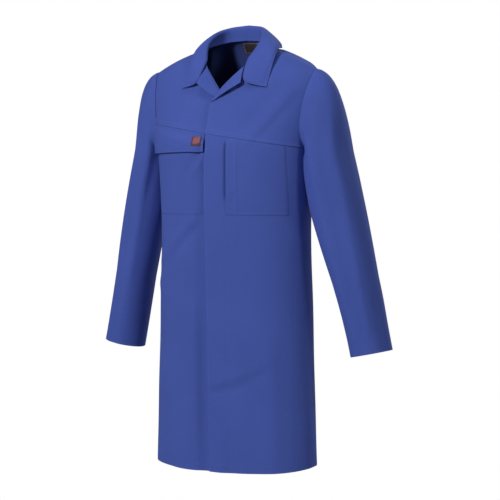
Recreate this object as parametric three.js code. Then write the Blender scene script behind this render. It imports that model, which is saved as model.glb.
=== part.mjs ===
// A long-sleeved work coat, standing as it is worn: fronts closed, sleeves hanging, collar turned down.
// Millimetres, +Z up, +X to the wearer's left, -Y to the front.
// The origin is in the middle of the coat, level with the shoulder seams' inner ends.
import * as THREE from 'three';

// ---- Driving dimensions ----
const coatLength = 984; // inner end of the shoulder seam down to the hem at the sides and back
const hemDip = 13; // the hem hangs this much lower at the middle of the front
const neckHalf = 76; // half the width between the shoulder seams' inner ends
const shoulderHalf = 208; // half the width across the shoulder tips
const shoulderDrop = 54; // inner end of the shoulder seam down to its outer end
const chestHalf = 200;
const waistHalf = 187;
const hemHalf = 204;
const chestFront = 120; // middle of the coat to the front, at chest height
const chestBack = 116;
const sleeveLength = 469; // underarm to the cuff, along the sleeve
const sleeveTilt = THREE.MathUtils.degToRad(11.6); // outward from straight down
const sleeveSwing = 14; // the cuff hangs this much further back than the underarm
const cuffHalf = 49; // half the width of the cuff opening
const armholeHeight = 188; // top to bottom of the armhole
const armholeTurn = THREE.MathUtils.degToRad(26); // half its spread round the body

const cloth = 1.2; // a sheet of twill with its turned edges
const seamGap = 0.3; // between two sheets sewn edge to edge
const layerGap = 0.8; // between two sheets that lie on each other
const layer = cloth + layerGap;

const plackEdge = -20; // free edge of the left front, which laps over the right front
const flySeam = 34; // stitch line that holds the fly's cover
const underEdge = 22; // hidden edge of the right front
const hingeLine = 172; // where the fronts flex when the coat is opened
const facingEdge = 92; // inner edge of the facings
const seamHeight = -207; // yoke seam at the middle of the front
const seamSlope = -0.153; // the seam runs down towards the wearer's left

const pocketBottom = -393;
const pocketInner = 28; // chest pocket on the wearer's right, from the middle
const pocketOuter = 166; // outer edge of both chest pockets
const openingEdge = 37; // open edge of the chest pocket on the wearer's left
const weltWidth = 26;
const flapInner = 25;
const flapOuter = 186;
const flapDrop = 43; // height of the flap
const flapLoose = 1.2; // the flap's extra distance from the pocket
const tabSize = 22; // red tab on the flap
const tabInner = 31;
const tabRaise = 13; // above the flap's lower edge

const labelMiddle = 14; // the neck label sits a little to the wearer's left
const labelHalf = 26;
const labelHeight = 24;
const ventTop = -650;
const ventLap = 55;
const sidePocketTop = -440;
const sidePocketHeight = 240;
const sidePocketInner = 104; // front edge of the side pocket bags
const snapCount = 6;
const snapTop = -232;
const snapPitch = 117;
const snapX = 4;
const snapRadius = 6;
const socketDepth = 2;
const studFlange = 0.8;
const studKnob = 1.2;
const knobRadius = 2.2;
const knobClearance = 1.2;

// The right front lies under the left one by the strip, a closed snap and the clearances between them.
const snapStack = socketDepth + studFlange + 3 * seamGap;
const underDepth = layer + snapStack + cloth;

const blue = { color: 0x34489b, roughness: 0.85 };
const darkBlue = { color: 0x28387a, roughness: 0.9 };
const white = { color: 0xd8d8d8, roughness: 0.9 };
const red = { color: 0x6d3640, roughness: 0.8 };
const black = { color: 0x1b1418, roughness: 0.8 };
const steel = { color: 0x9a9ca0, roughness: 0.35, metalness: 0.9 };

const deg = THREE.MathUtils.degToRad;
const lerp = THREE.MathUtils.lerp;
const vec = (x, y, z) => new THREE.Vector3(x, y, z);
const coat = new THREE.Group();

// ---- The body form ----
// Cross sections from the hem up: height, half width, depth to the front and to the back, squareness.
const sections = [
  [-coatLength - hemDip, hemHalf, 104, 106, 2.2],
  [-800, lerp(hemHalf, waistHalf, 0.35), 110, 102, 2.2],
  [-600, lerp(hemHalf, waistHalf, 0.68), 116, 100, 2.2],
  [-400, waistHalf, chestFront + 5, chestBack - 14, 2.2],
  [-270, chestHalf - 7, chestFront + 6, chestBack, 2.3],
  [-200, chestHalf, chestFront, chestBack, 2.3],
  [-130, chestHalf + 9, chestFront - 20, chestBack - 6, 2.3],
  [-90, shoulderHalf + 5, 79, 104, 2.2],
  [-shoulderDrop, shoulderHalf - 1, 61, 97, 2.1],
  [-40, shoulderHalf - 22, 54, 93, 2.05],
  [-20, lerp(neckHalf, shoulderHalf, 0.4), 43, 86, 2],
  [0, neckHalf, 30, 76, 2],
  [20, neckHalf - 18, 20, 60, 2],
];

// Half width, depths and squareness at a height, on a smooth curve through the sections.
function sectionAt(z) {
  let low = sections.findIndex((row) => row[0] > z) - 1;
  if (low < -1) low = sections.length - 2;
  low = Math.max(low, 0);
  const rise = sections[low + 1][0] - sections[low][0];
  const t = (z - sections[low][0]) / rise;
  const slope = (row, column) => {
    const before = sections[Math.max(row - 1, 0)];
    const after = sections[Math.min(row + 1, sections.length - 1)];
    return ((after[column] - before[column]) / (after[0] - before[0])) * rise;
  };
  return [1, 2, 3, 4].map((column) => {
    const from = sections[low][column];
    const to = sections[low + 1][column];
    const bend = t * (1 - t) * ((1 - t) * slope(low, column) - t * slope(low + 1, column));
    return from + (to - from) * t * t * (3 - 2 * t) + bend;
  });
}

// Point of the form at an angle round the body (0 at the front, 90 degrees at the wearer's left).
function form(angle, z) {
  const [half, front, back, square] = sectionAt(z);
  const sin = Math.sin(angle);
  const cos = Math.cos(angle);
  const depth = cos > 0 ? front : back;
  const x = half * Math.sign(sin) * Math.abs(sin) ** (2 / square);
  const y = -depth * Math.sign(cos) * Math.abs(cos) ** (2 / square);
  return vec(x, y, z);
}

// Angle at which the front of the form has a given x.
function angleAt(x, z) {
  const [half, , , square] = sectionAt(z);
  return Math.sign(x) * Math.asin(Math.min(Math.abs(x / half), 1) ** (square / 2));
}

// Height at which the form passes over a place near the shoulders.
function heightOver(x, y) {
  let low = -200;
  let high = 20;
  for (let step = 0; step < 40; step++) {
    const z = (low + high) / 2;
    const [half, front, back, square] = sectionAt(z);
    const reach = Math.abs(x / half) ** square + Math.abs(y / (y < 0 ? front : back)) ** square;
    if (reach < 1) low = z;
    else high = z;
  }
  return (low + high) / 2;
}

// ---- Seam lines ----
const sideAngle = deg(92);
const hemLine = (angle) => -coatLength - hemDip * Math.max(Math.cos(angle), 0);
const yokeSeam = (x) => seamHeight + seamSlope * x;
const armholeMiddle = -shoulderDrop - armholeHeight / 2;
const armholeSquare = 2.6;

// The armhole of the left side: turn 0 is the shoulder tip, a quarter the front, a half the underarm.
function armholeAngles(turn) {
  const power = 2 / armholeSquare;
  const sin = Math.sin(turn * 2 * Math.PI);
  const cos = Math.cos(turn * 2 * Math.PI);
  const angle = sideAngle - armholeTurn * Math.sign(sin) * Math.abs(sin) ** power;
  const z = armholeMiddle + (armholeHeight / 2) * Math.sign(cos) * Math.abs(cos) ** power;
  return [angle, z];
}
const armhole = (turn) => form(...armholeAngles(turn));

// Lower edge of the armhole at an angle round the body.
function armholeFloor(angle) {
  const reach = Math.min(Math.abs(Math.abs(angle) - sideAngle) / armholeTurn, 1);
  return armholeMiddle - (armholeHeight / 2) * (1 - reach ** armholeSquare) ** (1 / armholeSquare);
}

// Top of the front below the yoke: the yoke seam, then the armhole's lower edge.
function frontTop(angle) {
  const seam = yokeSeam(form(angle, seamHeight).x);
  if (Math.abs(angle) < sideAngle - armholeTurn) return seam;
  return Math.min(seam, armholeFloor(angle) - layerGap);
}

// Where the yoke seam meets the armhole, as a turn of the armhole.
function yokeEnd(side) {
  let low = 0.2;
  let high = 0.5;
  for (let step = 0; step < 40; step++) {
    const turn = (low + high) / 2;
    const [angle, z] = armholeAngles(turn);
    if (z > yokeSeam(side * form(angle, z).x)) low = turn;
    else high = turn;
  }
  return low;
}

// Neck seam and collar lines of the left half, from the middle of the back to the lapel's break.
const curve = (...points) => new THREE.CatmullRomCurve3(points, false, 'centripetal');
const pointOn = (line, t) => line.getPoint(THREE.MathUtils.clamp(t, 0, 1));
const neckLine = curve(vec(0, 60, 18), vec(44, 48, 14), vec(70, 16, 4), vec(75, -12, -6), vec(54, -51, -42));
const rollLine = curve(vec(0, 62, 52), vec(42, 50, 49), vec(62, 16, 38), vec(70, -12, 11), vec(54, -53, -40));
const shoulderPoint = 0.56; // how far along the neck seam the shoulder seam meets it
const breakLine = curve(pointOn(neckLine, 1), vec(26, -73, -73), vec(-2, -89, -107), vec(plackEdge + 3, -100, -133));
const collarReach = [
  [0, 82],
  [52, 70],
  [94, 34],
  [111, -24],
  [112, -64],
];
const collarLift = 9; // outer edge of the collar above the shoulder
const collarEdge = curve(...collarReach.map(([x, y]) => vec(x, y, heightOver(x, y) + collarLift)));
const lapelCorner = vec(58, -91, -86);

// ---- Sheets of cloth ----
// How far the right front sinks as it goes under the left one.
function underlap(x) {
  const start = 3 * plackEdge;
  const full = plackEdge - 4;
  return -underDepth * THREE.MathUtils.smoothstep(x, start, full);
}

function addMesh(name, geometry, finish) {
  const mesh = new THREE.Mesh(geometry, new THREE.MeshStandardMaterial(finish));
  mesh.name = name;
  coat.add(mesh);
  return mesh;
}

// Unit normal of a surface point(u, v), on the side that u turned towards v gives.
function normalOf(point, u, v) {
  const step = 0.002;
  const across = point(u + step, v).sub(point(u - step, v));
  const up = point(u, v + step).sub(point(u, v - step));
  return across.cross(up).normalize();
}

// Splits the outer face of a box along the same diagonals as its inner face, so that the two faces
// stay parallel where the sheet twists.
function matchDiagonals(geometry) {
  const { start, count } = geometry.groups[4];
  const index = geometry.index;
  for (let i = start; i < start + count; i += 6) {
    const [a, b, d, , c] = [0, 1, 2, 3, 4].map((corner) => index.getX(i + corner));
    [a, b, c, a, c, d].forEach((corner, place) => index.setX(i + place, corner));
  }
}

// A closed sheet over point(u, v). Its inner face is at rise(point) from the surface. Each edge is
// drawn in by half the seam gap, so that sheets sewn to each other meet without touching.
function sheet(name, point, { across, up, rise = () => 0, thick = cloth, finish = blue, edge = seamGap / 2 }) {
  const width = point(0, 0.5).distanceTo(point(1, 0.5));
  const height = point(0.5, 0).distanceTo(point(0.5, 1));
  const geometry = new THREE.BoxGeometry(1, 1, 1, across, up, 1);
  const position = geometry.attributes.position;
  for (let i = 0; i < position.count; i++) {
    const u = 0.5 + position.getX(i) * (1 - (2 * edge) / width);
    const v = 0.5 + position.getY(i) * (1 - (2 * edge) / height);
    const base = point(u, v);
    const offset = rise(base) + (position.getZ(i) + 0.5) * thick;
    base.addScaledVector(normalOf(point, u, v), offset);
    position.setXYZ(i, base.x, base.y, base.z);
  }
  matchDiagonals(geometry);
  geometry.computeVertexNormals();
  return addMesh(name, geometry, finish);
}

// Surface between four boundary curves that meet at their ends.
function coons(bottom, top, left, right) {
  return (u, v) => {
    const across = bottom(u).lerp(top(u), v);
    const along = left(v).lerp(right(v), u);
    const corners = bottom(0).lerp(bottom(1), u).lerp(top(0).lerp(top(1), u), v);
    return across.add(along).sub(corners);
  };
}

const rowCrowding = 1.5; // the rows of a front lie closer towards the chest

// Surface on the form between two angle limits and two heights. Its rows crowd towards the top.
function onForm(leftAngle, rightAngle, bottom, top) {
  return (u, v) => {
    const share = 1 - Math.max(1 - v, 0) ** rowCrowding;
    const nearZ = lerp(bottom(0), seamHeight, share);
    const angle = lerp(leftAngle(nearZ), rightAngle(nearZ), u);
    return form(angle, lerp(bottom(angle), top(angle), share));
  };
}

const mirror = (point) => vec(-point.x, point.y, point.z);
// The same surface on the other side of the body, still facing out.
const mirrored = (point) => (u, v) => mirror(point(1 - u, v));
const atX = (x) => (z) => angleAt(x, z);
const atAngle = (angle) => () => angle;
const sink = (depth) => () => -depth;

// ---- Back ----
function addBacks() {
  const level = armhole(0.5).z;
  const neckStart = 0.42; // share of the top edge that the shoulder seam takes
  const crown = (t) => {
    if (t < neckStart) return shoulderSeam(1 - t / neckStart);
    return pointOn(neckLine, shoulderPoint * (1 - (t - neckStart) / (1 - neckStart)));
  };
  const upper = coons(
    (u) => form(lerp(sideAngle, Math.PI, u), level),
    crown,
    (v) => armhole(1 - lerp(0.5, 0, v)),
    (v) => form(Math.PI, lerp(level, 20, v)).lerp(vec(0, pointOn(neckLine, 0).y, pointOn(neckLine, 0).z), v),
  );
  const share = 0.72; // lower part of the panel, below the armhole
  const left = (u, v) => {
    if (v > share) return upper(u, (v - share) / (1 - share));
    return form(lerp(sideAngle, Math.PI, u), lerp(-coatLength, level, v / share));
  };
  sheet('back_panel_left', left, { across: 8, up: 18 });
  sheet('back_panel_right', mirrored(left), { across: 8, up: 18 });
  const lap = (u, v) => {
    const z = lerp(-coatLength + 2, ventTop, v);
    const turn = ventLap / chestBack / 2;
    return form(lerp(Math.PI - turn, Math.PI + turn, u), z);
  };
  sheet('back_vent_underlap', lap, { across: 3, up: 8, rise: sink(layer) });
}

// Shoulder seam from the neck, t = 0, to the shoulder tip.
function shoulderSeam(t) {
  const inner = pointOn(neckLine, shoulderPoint);
  const outer = armhole(0);
  const ridge = inner.clone().lerp(outer, t);
  ridge.z += 5 * Math.sin(Math.PI * t); // the shoulder is slightly arched
  return ridge;
}

// ---- Fronts ----
// Yoke of one side in the left side's sense. Its edge at the front runs up from the yoke seam,
// along the placket edge and the lapel's break, to the neck seam and the shoulder.
const yokeRows = 11;
const placketRows = 2; // rows of the yoke beside the placket edge
const lapelRows = 6; // rows beside the lapel's break

function yokeSurface(side, edgeX) {
  const end = yokeEnd(side);
  const tip = pointOn(breakLine, 1);
  const startX = side * edgeX;
  const seamStart = form(angleAt(startX, yokeSeam(side * startX)), yokeSeam(side * startX));
  const frontEdge = (v) => {
    const placket = placketRows / yokeRows;
    const lapel = (placketRows + lapelRows) / yokeRows;
    if (v < placket) return seamStart.clone().lerp(tip, v / placket);
    if (v < lapel) return pointOn(breakLine, 1 - (v - placket) / (lapel - placket));
    return pointOn(neckLine, lerp(1, shoulderPoint, (v - lapel) / (1 - lapel)));
  };
  const seam = (u) => {
    const endAngle = armholeAngles(end)[0];
    const startAngle = angleAt(startX, seamHeight);
    const angle = lerp(startAngle, endAngle, u);
    const z = yokeSeam(side * form(angle, seamHeight).x);
    return form(angle, z);
  };
  return coons(seam, shoulderSeam, frontEdge, (v) => armhole(lerp(end, 0, v)));
}

const leftYoke = yokeSurface(1, plackEdge);
const rightYoke = yokeSurface(-1, underEdge);
const rightRise = (extra) => (point) => underlap(point.x) + extra;

function addYokes() {
  sheet('front_yoke_left', leftYoke, { across: 9, up: yokeRows });
  sheet('front_yoke_right', mirrored(rightYoke), { across: 9, up: yokeRows, rise: rightRise(0), edge: 2 * seamGap });
}

function addFronts() {
  const left = onForm(atX(flySeam), atX(hingeLine), hemLine, frontTop);
  const right = onForm(atX(-hingeLine), atX(underEdge), hemLine, frontTop);
  sheet('front_panel_left', left, { across: 7, up: 11 });
  sheet('front_panel_right', right, { across: 10, up: 11, rise: rightRise(0) });
  const side = (sign) => {
    const inner = (z) => sign * angleAt(hingeLine, z);
    const outer = () => sign * sideAngle;
    return sign > 0 ? onForm(inner, outer, hemLine, frontTop) : onForm(outer, inner, hemLine, frontTop);
  };
  sheet('side_panel_left', side(1), { across: 4, up: 11 });
  sheet('side_panel_right', side(-1), { across: 4, up: 11 });
}

// ---- Closure down the front ----
function addClosure() {
  const inset = 6;
  const inner = (angle) => hemLine(angle) + inset;
  const cover = onForm(atX(plackEdge), atX(flySeam), hemLine, frontTop);
  const strip = onForm(atX(plackEdge + inset), atX(flySeam), inner, frontTop);
  const facingLeft = onForm(atX(flySeam), atX(facingEdge), inner, frontTop);
  const facingRight = onForm(atX(-facingEdge + inset), atX(underEdge), inner, frontTop);
  sheet('fly_cover', cover, { across: 3, up: 11 });
  sheet('fly_strip', strip, { across: 3, up: 11, rise: sink(layer) });
  sheet('facing_left', facingLeft, { across: 3, up: 11, rise: sink(layer), finish: darkBlue });
  sheet('facing_right', facingRight, { across: 6, up: 11, rise: rightRise(-layer), finish: darkBlue });
  for (let index = 0; index < snapCount; index++) addSnap(index + 1, snapTop - index * snapPitch);
}

// A ring of revolution about the cloth's normal, its profile given as [radius, height] pairs.
function addRound(name, profile, place, outward) {
  const points = profile.map(([radius, height]) => new THREE.Vector2(radius, height));
  const mesh = addMesh(name, new THREE.LatheGeometry(points, 10), steel);
  mesh.position.copy(place);
  mesh.quaternion.setFromUnitVectors(vec(0, 1, 0), outward);
}

function addSnap(number, z) {
  const point = (u, v) => form(angleAt(snapX + u, z), z + v);
  const outward = normalOf(point, 0, 0);
  const face = (depth) => point(0, 0).addScaledVector(outward, depth);
  const socketTop = -layer - seamGap;
  const socketBase = socketTop - socketDepth;
  const recess = knobRadius + knobClearance;
  const socket = [
    [0, socketDepth],
    [snapRadius, socketDepth],
    [snapRadius, 0],
    [recess, 0],
    [recess, studKnob + layerGap / 4],
    [0, studKnob + layerGap / 4],
  ];
  const stud = [
    [0, -studFlange],
    [snapRadius, -studFlange],
    [snapRadius, 0],
    [knobRadius, 0],
    [knobRadius, studKnob],
    [0, studKnob],
  ];
  addRound(`snap_socket_${number}`, socket.reverse(), face(socketBase), outward);
  addRound(`snap_stud_${number}`, stud, face(socketBase - seamGap), outward);
}

// ---- Facings of the yokes and the lapels ----
function addUpperFacings() {
  const strip = (yoke) => (u, v) => yoke(u * 0.34, lerp(0.01, 0.97, v));
  const depth = layer + layerGap;
  const size = { across: 3, up: 11, finish: darkBlue };
  sheet('facing_left_upper', strip(leftYoke), { ...size, rise: sink(depth) });
  sheet('facing_right_upper', mirrored(strip(rightYoke)), { ...size, rise: rightRise(-depth) });
}

// The turned-over part of a front, from the break line to its free edge.
function addLapels() {
  const surface = (end) => (u, v) => {
    const fold = pointOn(breakLine, lerp(end, 0.05, v));
    const bottom = pointOn(breakLine, end);
    const free = bottom.clone().lerp(lapelCorner, lerp(0.16, 1, v));
    free.y -= 3 * Math.sin(Math.PI * v);
    const place = fold.lerp(free, u);
    place.y -= 1.9 + 3 * Math.sin(Math.PI * u) * v;
    return place;
  };
  sheet('lapel_left', surface(0.97), { across: 3, up: 6 });
  sheet('lapel_right', mirrored(surface(0.66)), { across: 3, up: 5, rise: rightRise(0) });
}

// ---- Collar ----
const lining = 0.6; // thickness of the interlining
const standShare = 0.36; // of the collar's rows: neck seam to the roll line
const rollCrowding = 1.6; // the collar's rows lie closer towards the roll line
const foldReach = 5.5; // how far the cloth runs level on each side of the roll line

// Left half of the collar: along = 0 at the middle of the back, up = 0 at the neck seam.
function collarHalf(along, up) {
  const seat = cloth + 2 * seamGap; // the stand sits on the neck edges of the yokes and the back
  const lift = vec(0, -seat * along, seat);
  const neck = pointOn(neckLine, along).add(lift);
  const roll = pointOn(rollLine, along).add(lift);
  const edge = pointOn(collarEdge, along);
  const out = vec(edge.x - roll.x, edge.y - roll.y, 0).normalize();
  const stand = roll.z - neck.z;
  const fall = edge.distanceTo(roll);
  if (up < standShare) {
    const rise = neck.clone().add(vec(0, 0, stand * 0.55));
    const turn = roll.clone().addScaledVector(out, -Math.min(foldReach, stand * 0.5));
    return new THREE.CubicBezierCurve3(neck, rise, turn, roll).getPoint(up / standShare);
  }
  const turn = roll.clone().addScaledVector(out, lerp(1.6 * foldReach, fall / 3, along));
  turn.z += 4 * along;
  const drop = edge.clone().lerp(roll, 0.3 * along);
  drop.z += lerp(fall * 0.4, 4, along);
  return new THREE.CubicBezierCurve3(roll, turn, drop, edge).getPoint((up - standShare) / (1 - standShare));
}

function crowded(v) {
  if (v < standShare) return standShare * (1 - (1 - v / standShare) ** rollCrowding);
  return standShare + (1 - standShare) * ((v - standShare) / (1 - standShare)) ** rollCrowding;
}

function addCollar() {
  const whole = (u, v) => {
    const along = 1 - 2 * u;
    const half = collarHalf(Math.min(Math.abs(along), 1), crowded(v));
    return along > 0 ? half : mirror(half);
  };
  const loose = 1.7 * layerGap; // the layers need room to turn over the roll line
  const size = { across: 16, up: 12 };
  sheet('under_collar', whole, { ...size });
  sheet('collar_interlining', whole, { ...size, rise: sink(lining + loose), thick: lining, finish: white });
  sheet('top_collar', whole, { ...size, rise: sink(lining + 2 * loose + cloth) });
}

function addLabel() {
  const top = 14;
  const surface = (u, v) => {
    const x = labelMiddle + lerp(labelHalf, -labelHalf, u);
    const z = lerp(top - labelHeight, top, v);
    const [half, , back, square] = sectionAt(z);
    return vec(x, back * (1 - Math.abs(x / half) ** square) ** (1 / square) - 10, z);
  };
  sheet('neck_label', surface, { across: 4, up: 2, thick: 0.6, finish: black });
}

// ---- Pockets ----
function addPockets() {
  const mouth = 16; // the right pocket's open edge below the yoke seam
  const under = (gap) => (angle) => frontTop(angle) - gap;
  const onPanel = () => layer;
  const rightRiseOn = (depth) => (point) => underlap(point.x) + depth;
  const bottom = (raise) => () => pocketBottom + raise;
  const right = onForm(atX(-pocketOuter), atX(-pocketInner), bottom(0), under(mouth));
  const left = onForm(atX(openingEdge), atX(pocketOuter), bottom(0), under(2));
  const welt = onForm(atX(openingEdge), atX(openingEdge + weltWidth), bottom(4), under(4));
  sheet('chest_pocket_right', right, { across: 8, up: 6, rise: rightRiseOn(layer + seamGap) });
  sheet('chest_pocket_left', left, { across: 8, up: 6, rise: onPanel });
  sheet('pocket_welt_left', welt, { across: 2, up: 6, rise: () => 2 * layer });
  const flap = (inset) => {
    const bottomOf = (x) => yokeSeam(-flapInner) - flapDrop + 0.02 * (x + flapInner);
    return (u, v) => {
      const x = lerp(-flapOuter + inset, -flapInner - inset, u);
      const z = lerp(bottomOf(x) + inset, yokeSeam(x) - 1, v);
      return form(angleAt(x, z), z);
    };
  };
  sheet('flap_lining', flap(2), { across: 8, up: 3, rise: rightRiseOn(2 * layer + flapLoose), finish: darkBlue });
  sheet('flap_outer', flap(0), { across: 8, up: 3, rise: rightRiseOn(3 * layer + flapLoose) });
  const tab = (u, v) => {
    const x = lerp(-tabInner - tabSize, -tabInner, u);
    const z = yokeSeam(-flapInner) - flapDrop + tabRaise + v * tabSize;
    return form(angleAt(x, z), z);
  };
  sheet('flap_tab', tab, { across: 2, up: 2, rise: rightRiseOn(4 * layer + flapLoose), thick: 0.9, finish: red });
  const bag = (u, v) => {
    const z = lerp(sidePocketTop - sidePocketHeight, sidePocketTop, v);
    return form(lerp(angleAt(sidePocketInner, z), sideAngle - 0.03, u), z);
  };
  const bagDepth = 2 * cloth + layerGap;
  const bagSize = { across: 7, up: 5, rise: sink(bagDepth), thick: 2 * cloth, finish: darkBlue };
  sheet('side_pocket_bag_left', bag, bagSize);
  sheet('side_pocket_bag_right', mirrored(bag), bagSize);
}

// ---- Sleeves ----
const headLevel = 24; // the tube's first ring below the underarm
const headAcross = 43;
const headDepth = 64;
const sleeveMiddleY = 16;
const sleeveFill = 4; // how much fuller the sleeve is at the elbow
const sleeveSlack = 16; // how far the cloth inside the arm hangs towards the body
const slackHeight = 0.25; // share of the sleeve's length at which it hangs furthest

// Point of the left sleeve's straight part: turn 0 outside, a quarter in front; down 0 to 1.
function tubePoint(turn, down) {
  const axis = vec(Math.sin(sleeveTilt), 0, -Math.cos(sleeveTilt));
  const outward = vec(Math.cos(sleeveTilt), 0, Math.sin(sleeveTilt));
  const underarm = armhole(0.5);
  const start = vec(underarm.x + headAcross + 4, sleeveMiddleY, underarm.z - headLevel + 11);
  const fill = Math.sin(Math.PI * Math.min(down * 1.6, 1)) * sleeveFill;
  const across = lerp(headAcross, cuffHalf, down) + fill;
  const depth = lerp(headDepth, cuffHalf, down);
  const inward = Math.max(-Math.cos(turn * 2 * Math.PI), 0);
  const { smoothstep } = THREE.MathUtils;
  const slack = sleeveSlack * smoothstep(down, 0, slackHeight) * (1 - smoothstep(down, slackHeight, 1));
  const place = start.addScaledVector(axis, down * sleeveLength);
  place.addScaledVector(outward, across * Math.cos(turn * 2 * Math.PI) - slack * inward);
  place.y += sleeveSwing * down - depth * Math.sin(turn * 2 * Math.PI);
  return place;
}

// Point of the sleeve head: down = 0 on the armhole, 1 on the tube's first ring.
function headPoint(turn, down) {
  const [angle, z] = armholeAngles(turn);
  const around = (u, v) => form(angle + u, z + 100 * v);
  const skin = normalOf(around, 0, 0);
  const from = form(angle, z).addScaledVector(skin, cloth + 3 * seamGap);
  const to = tubePoint(turn, 0);
  const reach = from.distanceTo(to);
  const leave = vec(0.98, 0, -0.2).multiplyScalar(reach * 0.8 + 22);
  const arrive = vec(Math.sin(sleeveTilt), 0, -Math.cos(sleeveTilt)).multiplyScalar(reach * 0.9);
  const t = down;
  const place = from.multiplyScalar((2 * t ** 3 - 3 * t ** 2 + 1));
  place.addScaledVector(leave, t ** 3 - 2 * t ** 2 + t);
  place.addScaledVector(to, -2 * t ** 3 + 3 * t ** 2);
  place.addScaledVector(arrive, t ** 3 - t ** 2);
  return place;
}

function addSleeves() {
  const headShare = 0.3;
  const surface = (first, last) => (u, v) => {
    const turn = lerp(first, last, u);
    const down = 1 - v;
    if (down < headShare) return headPoint(turn, down / headShare);
    return tubePoint(turn, (down - headShare) / (1 - headShare));
  };
  const frontSeam = 0.3;
  const backSeam = -0.3;
  const upper = surface(frontSeam, backSeam);
  const under = surface(1 + backSeam, frontSeam);
  const detail = { up: 11, edge: seamGap / 2 };
  sheet('sleeve_left_top', upper, { across: 10, ...detail });
  sheet('sleeve_left_under', under, { across: 7, ...detail });
  sheet('sleeve_right_top', mirrored(upper), { across: 10, ...detail });
  sheet('sleeve_right_under', mirrored(under), { across: 7, ...detail });
}

addBacks();
addYokes();
addFronts();
addClosure();
addUpperFacings();
addLapels();
addCollar();
addLabel();
addPockets();
addSleeves();

export default coat;
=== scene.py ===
"""A long-sleeved work coat, filled out as it is worn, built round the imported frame.

The shape functions work in millimetres in the row frame: +Z up, +X to the wearer's left, -Y to the
front. add_piece() turns them into metres. Each sheet of cloth is a closed shell over a surface
surface(u, v), with rounded edges, pinched stitch lines and stitches of real size. The folds are made
by the functions in "Folds", and no cloth simulation runs.
"""

import math
from functools import partial

import bpy
import numpy as np
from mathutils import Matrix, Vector


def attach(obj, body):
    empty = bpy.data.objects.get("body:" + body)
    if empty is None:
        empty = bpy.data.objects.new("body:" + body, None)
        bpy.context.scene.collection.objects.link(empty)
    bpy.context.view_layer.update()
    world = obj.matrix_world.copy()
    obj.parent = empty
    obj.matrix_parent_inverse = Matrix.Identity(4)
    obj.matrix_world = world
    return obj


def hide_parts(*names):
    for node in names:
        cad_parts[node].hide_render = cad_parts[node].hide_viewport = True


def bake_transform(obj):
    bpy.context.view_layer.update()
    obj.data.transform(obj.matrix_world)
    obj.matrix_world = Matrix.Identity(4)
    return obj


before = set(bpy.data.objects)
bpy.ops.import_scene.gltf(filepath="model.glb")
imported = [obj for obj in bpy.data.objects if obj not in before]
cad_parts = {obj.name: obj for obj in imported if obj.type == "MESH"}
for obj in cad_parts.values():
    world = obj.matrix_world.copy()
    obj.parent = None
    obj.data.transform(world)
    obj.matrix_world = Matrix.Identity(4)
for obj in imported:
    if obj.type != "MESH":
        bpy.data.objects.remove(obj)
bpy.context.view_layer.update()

# ---- Sizes in millimetres, the same as the CAD source's ----
COAT_LENGTH = 984
HEM_DIP = 13
NECK_HALF = 76
SHOULDER_HALF = 208
SHOULDER_DROP = 54
CHEST_HALF = 200
WAIST_HALF = 187
HEM_HALF = 204
CHEST_FRONT = 120
CHEST_BACK = 116
SLEEVE_LENGTH = 469
SLEEVE_TILT = math.radians(11.6)
SLEEVE_SWING = 14
CUFF_HALF = 49
ARMHOLE_HEIGHT = 188
ARMHOLE_TURN = math.radians(26)
ARMHOLE_SQUARE = 2.6
SIDE_ANGLE = math.radians(92)

PLACKET_EDGE = -20
FLY_SEAM = 34
UNDER_EDGE = 22
FACING_EDGE = 92
SEAM_HEIGHT = -207
SEAM_SLOPE = -0.153
LAYER = 2.0  # one sheet on another, with the air between them
UNDER_DEPTH = 6.9  # the right front below the left one, with the snaps between them

POCKET_BOTTOM = -393
POCKET_INNER = 28
POCKET_OUTER = 166
OPENING_EDGE = 37
OPENING_TOP = -228
OPENING_BOTTOM = -352
WELT_WIDTH = 26
FLAP_INNER = 25
FLAP_OUTER = 186
FLAP_DROP = 43
TAB_SIZE = 22
TAB_INNER = 31
TAB_RAISE = 13
TAB_SHADOW_WIDTH = 3.2
TAB_SHADOW_RAISE = 2.6  # the painted shadow round the tab is wider below than above

LABEL_MIDDLE = 14
LABEL_HALF = 26
LABEL_TOP = 14
LABEL_HEIGHT = 24
VENT_TOP = -650
VENT_LAP = 55
SIDE_POCKET_TOP = -440
SIDE_POCKET_HEIGHT = 240
SIDE_POCKET_INNER = 104
SNAP_COUNT = 6
SNAP_TOP = -232
SNAP_PITCH = 117
SNAP_X = 4

CLOTH = 0.9  # a sheet of twill
EDGE_ROUND = 1.1  # how far from its edge a sheet starts to thin out
STITCH_PITCH = 3.2
STITCH_LENGTH = 2.6
STITCH_WIDTH = 0.6
STITCH_HEIGHT = 0.35
TOPSTITCH = 1.8  # a line of stitches beside an edge
SECOND_STITCH = 7.5
HEM_STITCH = 20
MM = 0.001
UPWARD = np.array([0.0, 0.0, 1.0])


# ---- Helpers ----
def smooth(value, start, stop):
    """0 before start, 1 after stop, and a smooth step between them."""
    t = np.clip((np.asarray(value, float) - start) / (stop - start), 0, 1)
    return t * t * (3 - 2 * t)


def lerp(a, b, t):
    return a + (b - a) * t


def power(value, exponent):
    """The sign of a value with a power of its size."""
    return np.sign(value) * np.abs(value) ** exponent


def points_of(x, y, z):
    return np.stack(np.broadcast_arrays(x, y, z), axis=-1).astype(float)


def unit(vectors):
    return vectors / np.maximum(np.linalg.norm(vectors, axis=-1, keepdims=True), 1e-9)


def elementwise(function):
    """Lets a function of two arrays take any two numbers or arrays that fit together."""
    return lambda a, b: function(*np.broadcast_arrays(np.asarray(a, float), np.asarray(b, float)))


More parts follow.
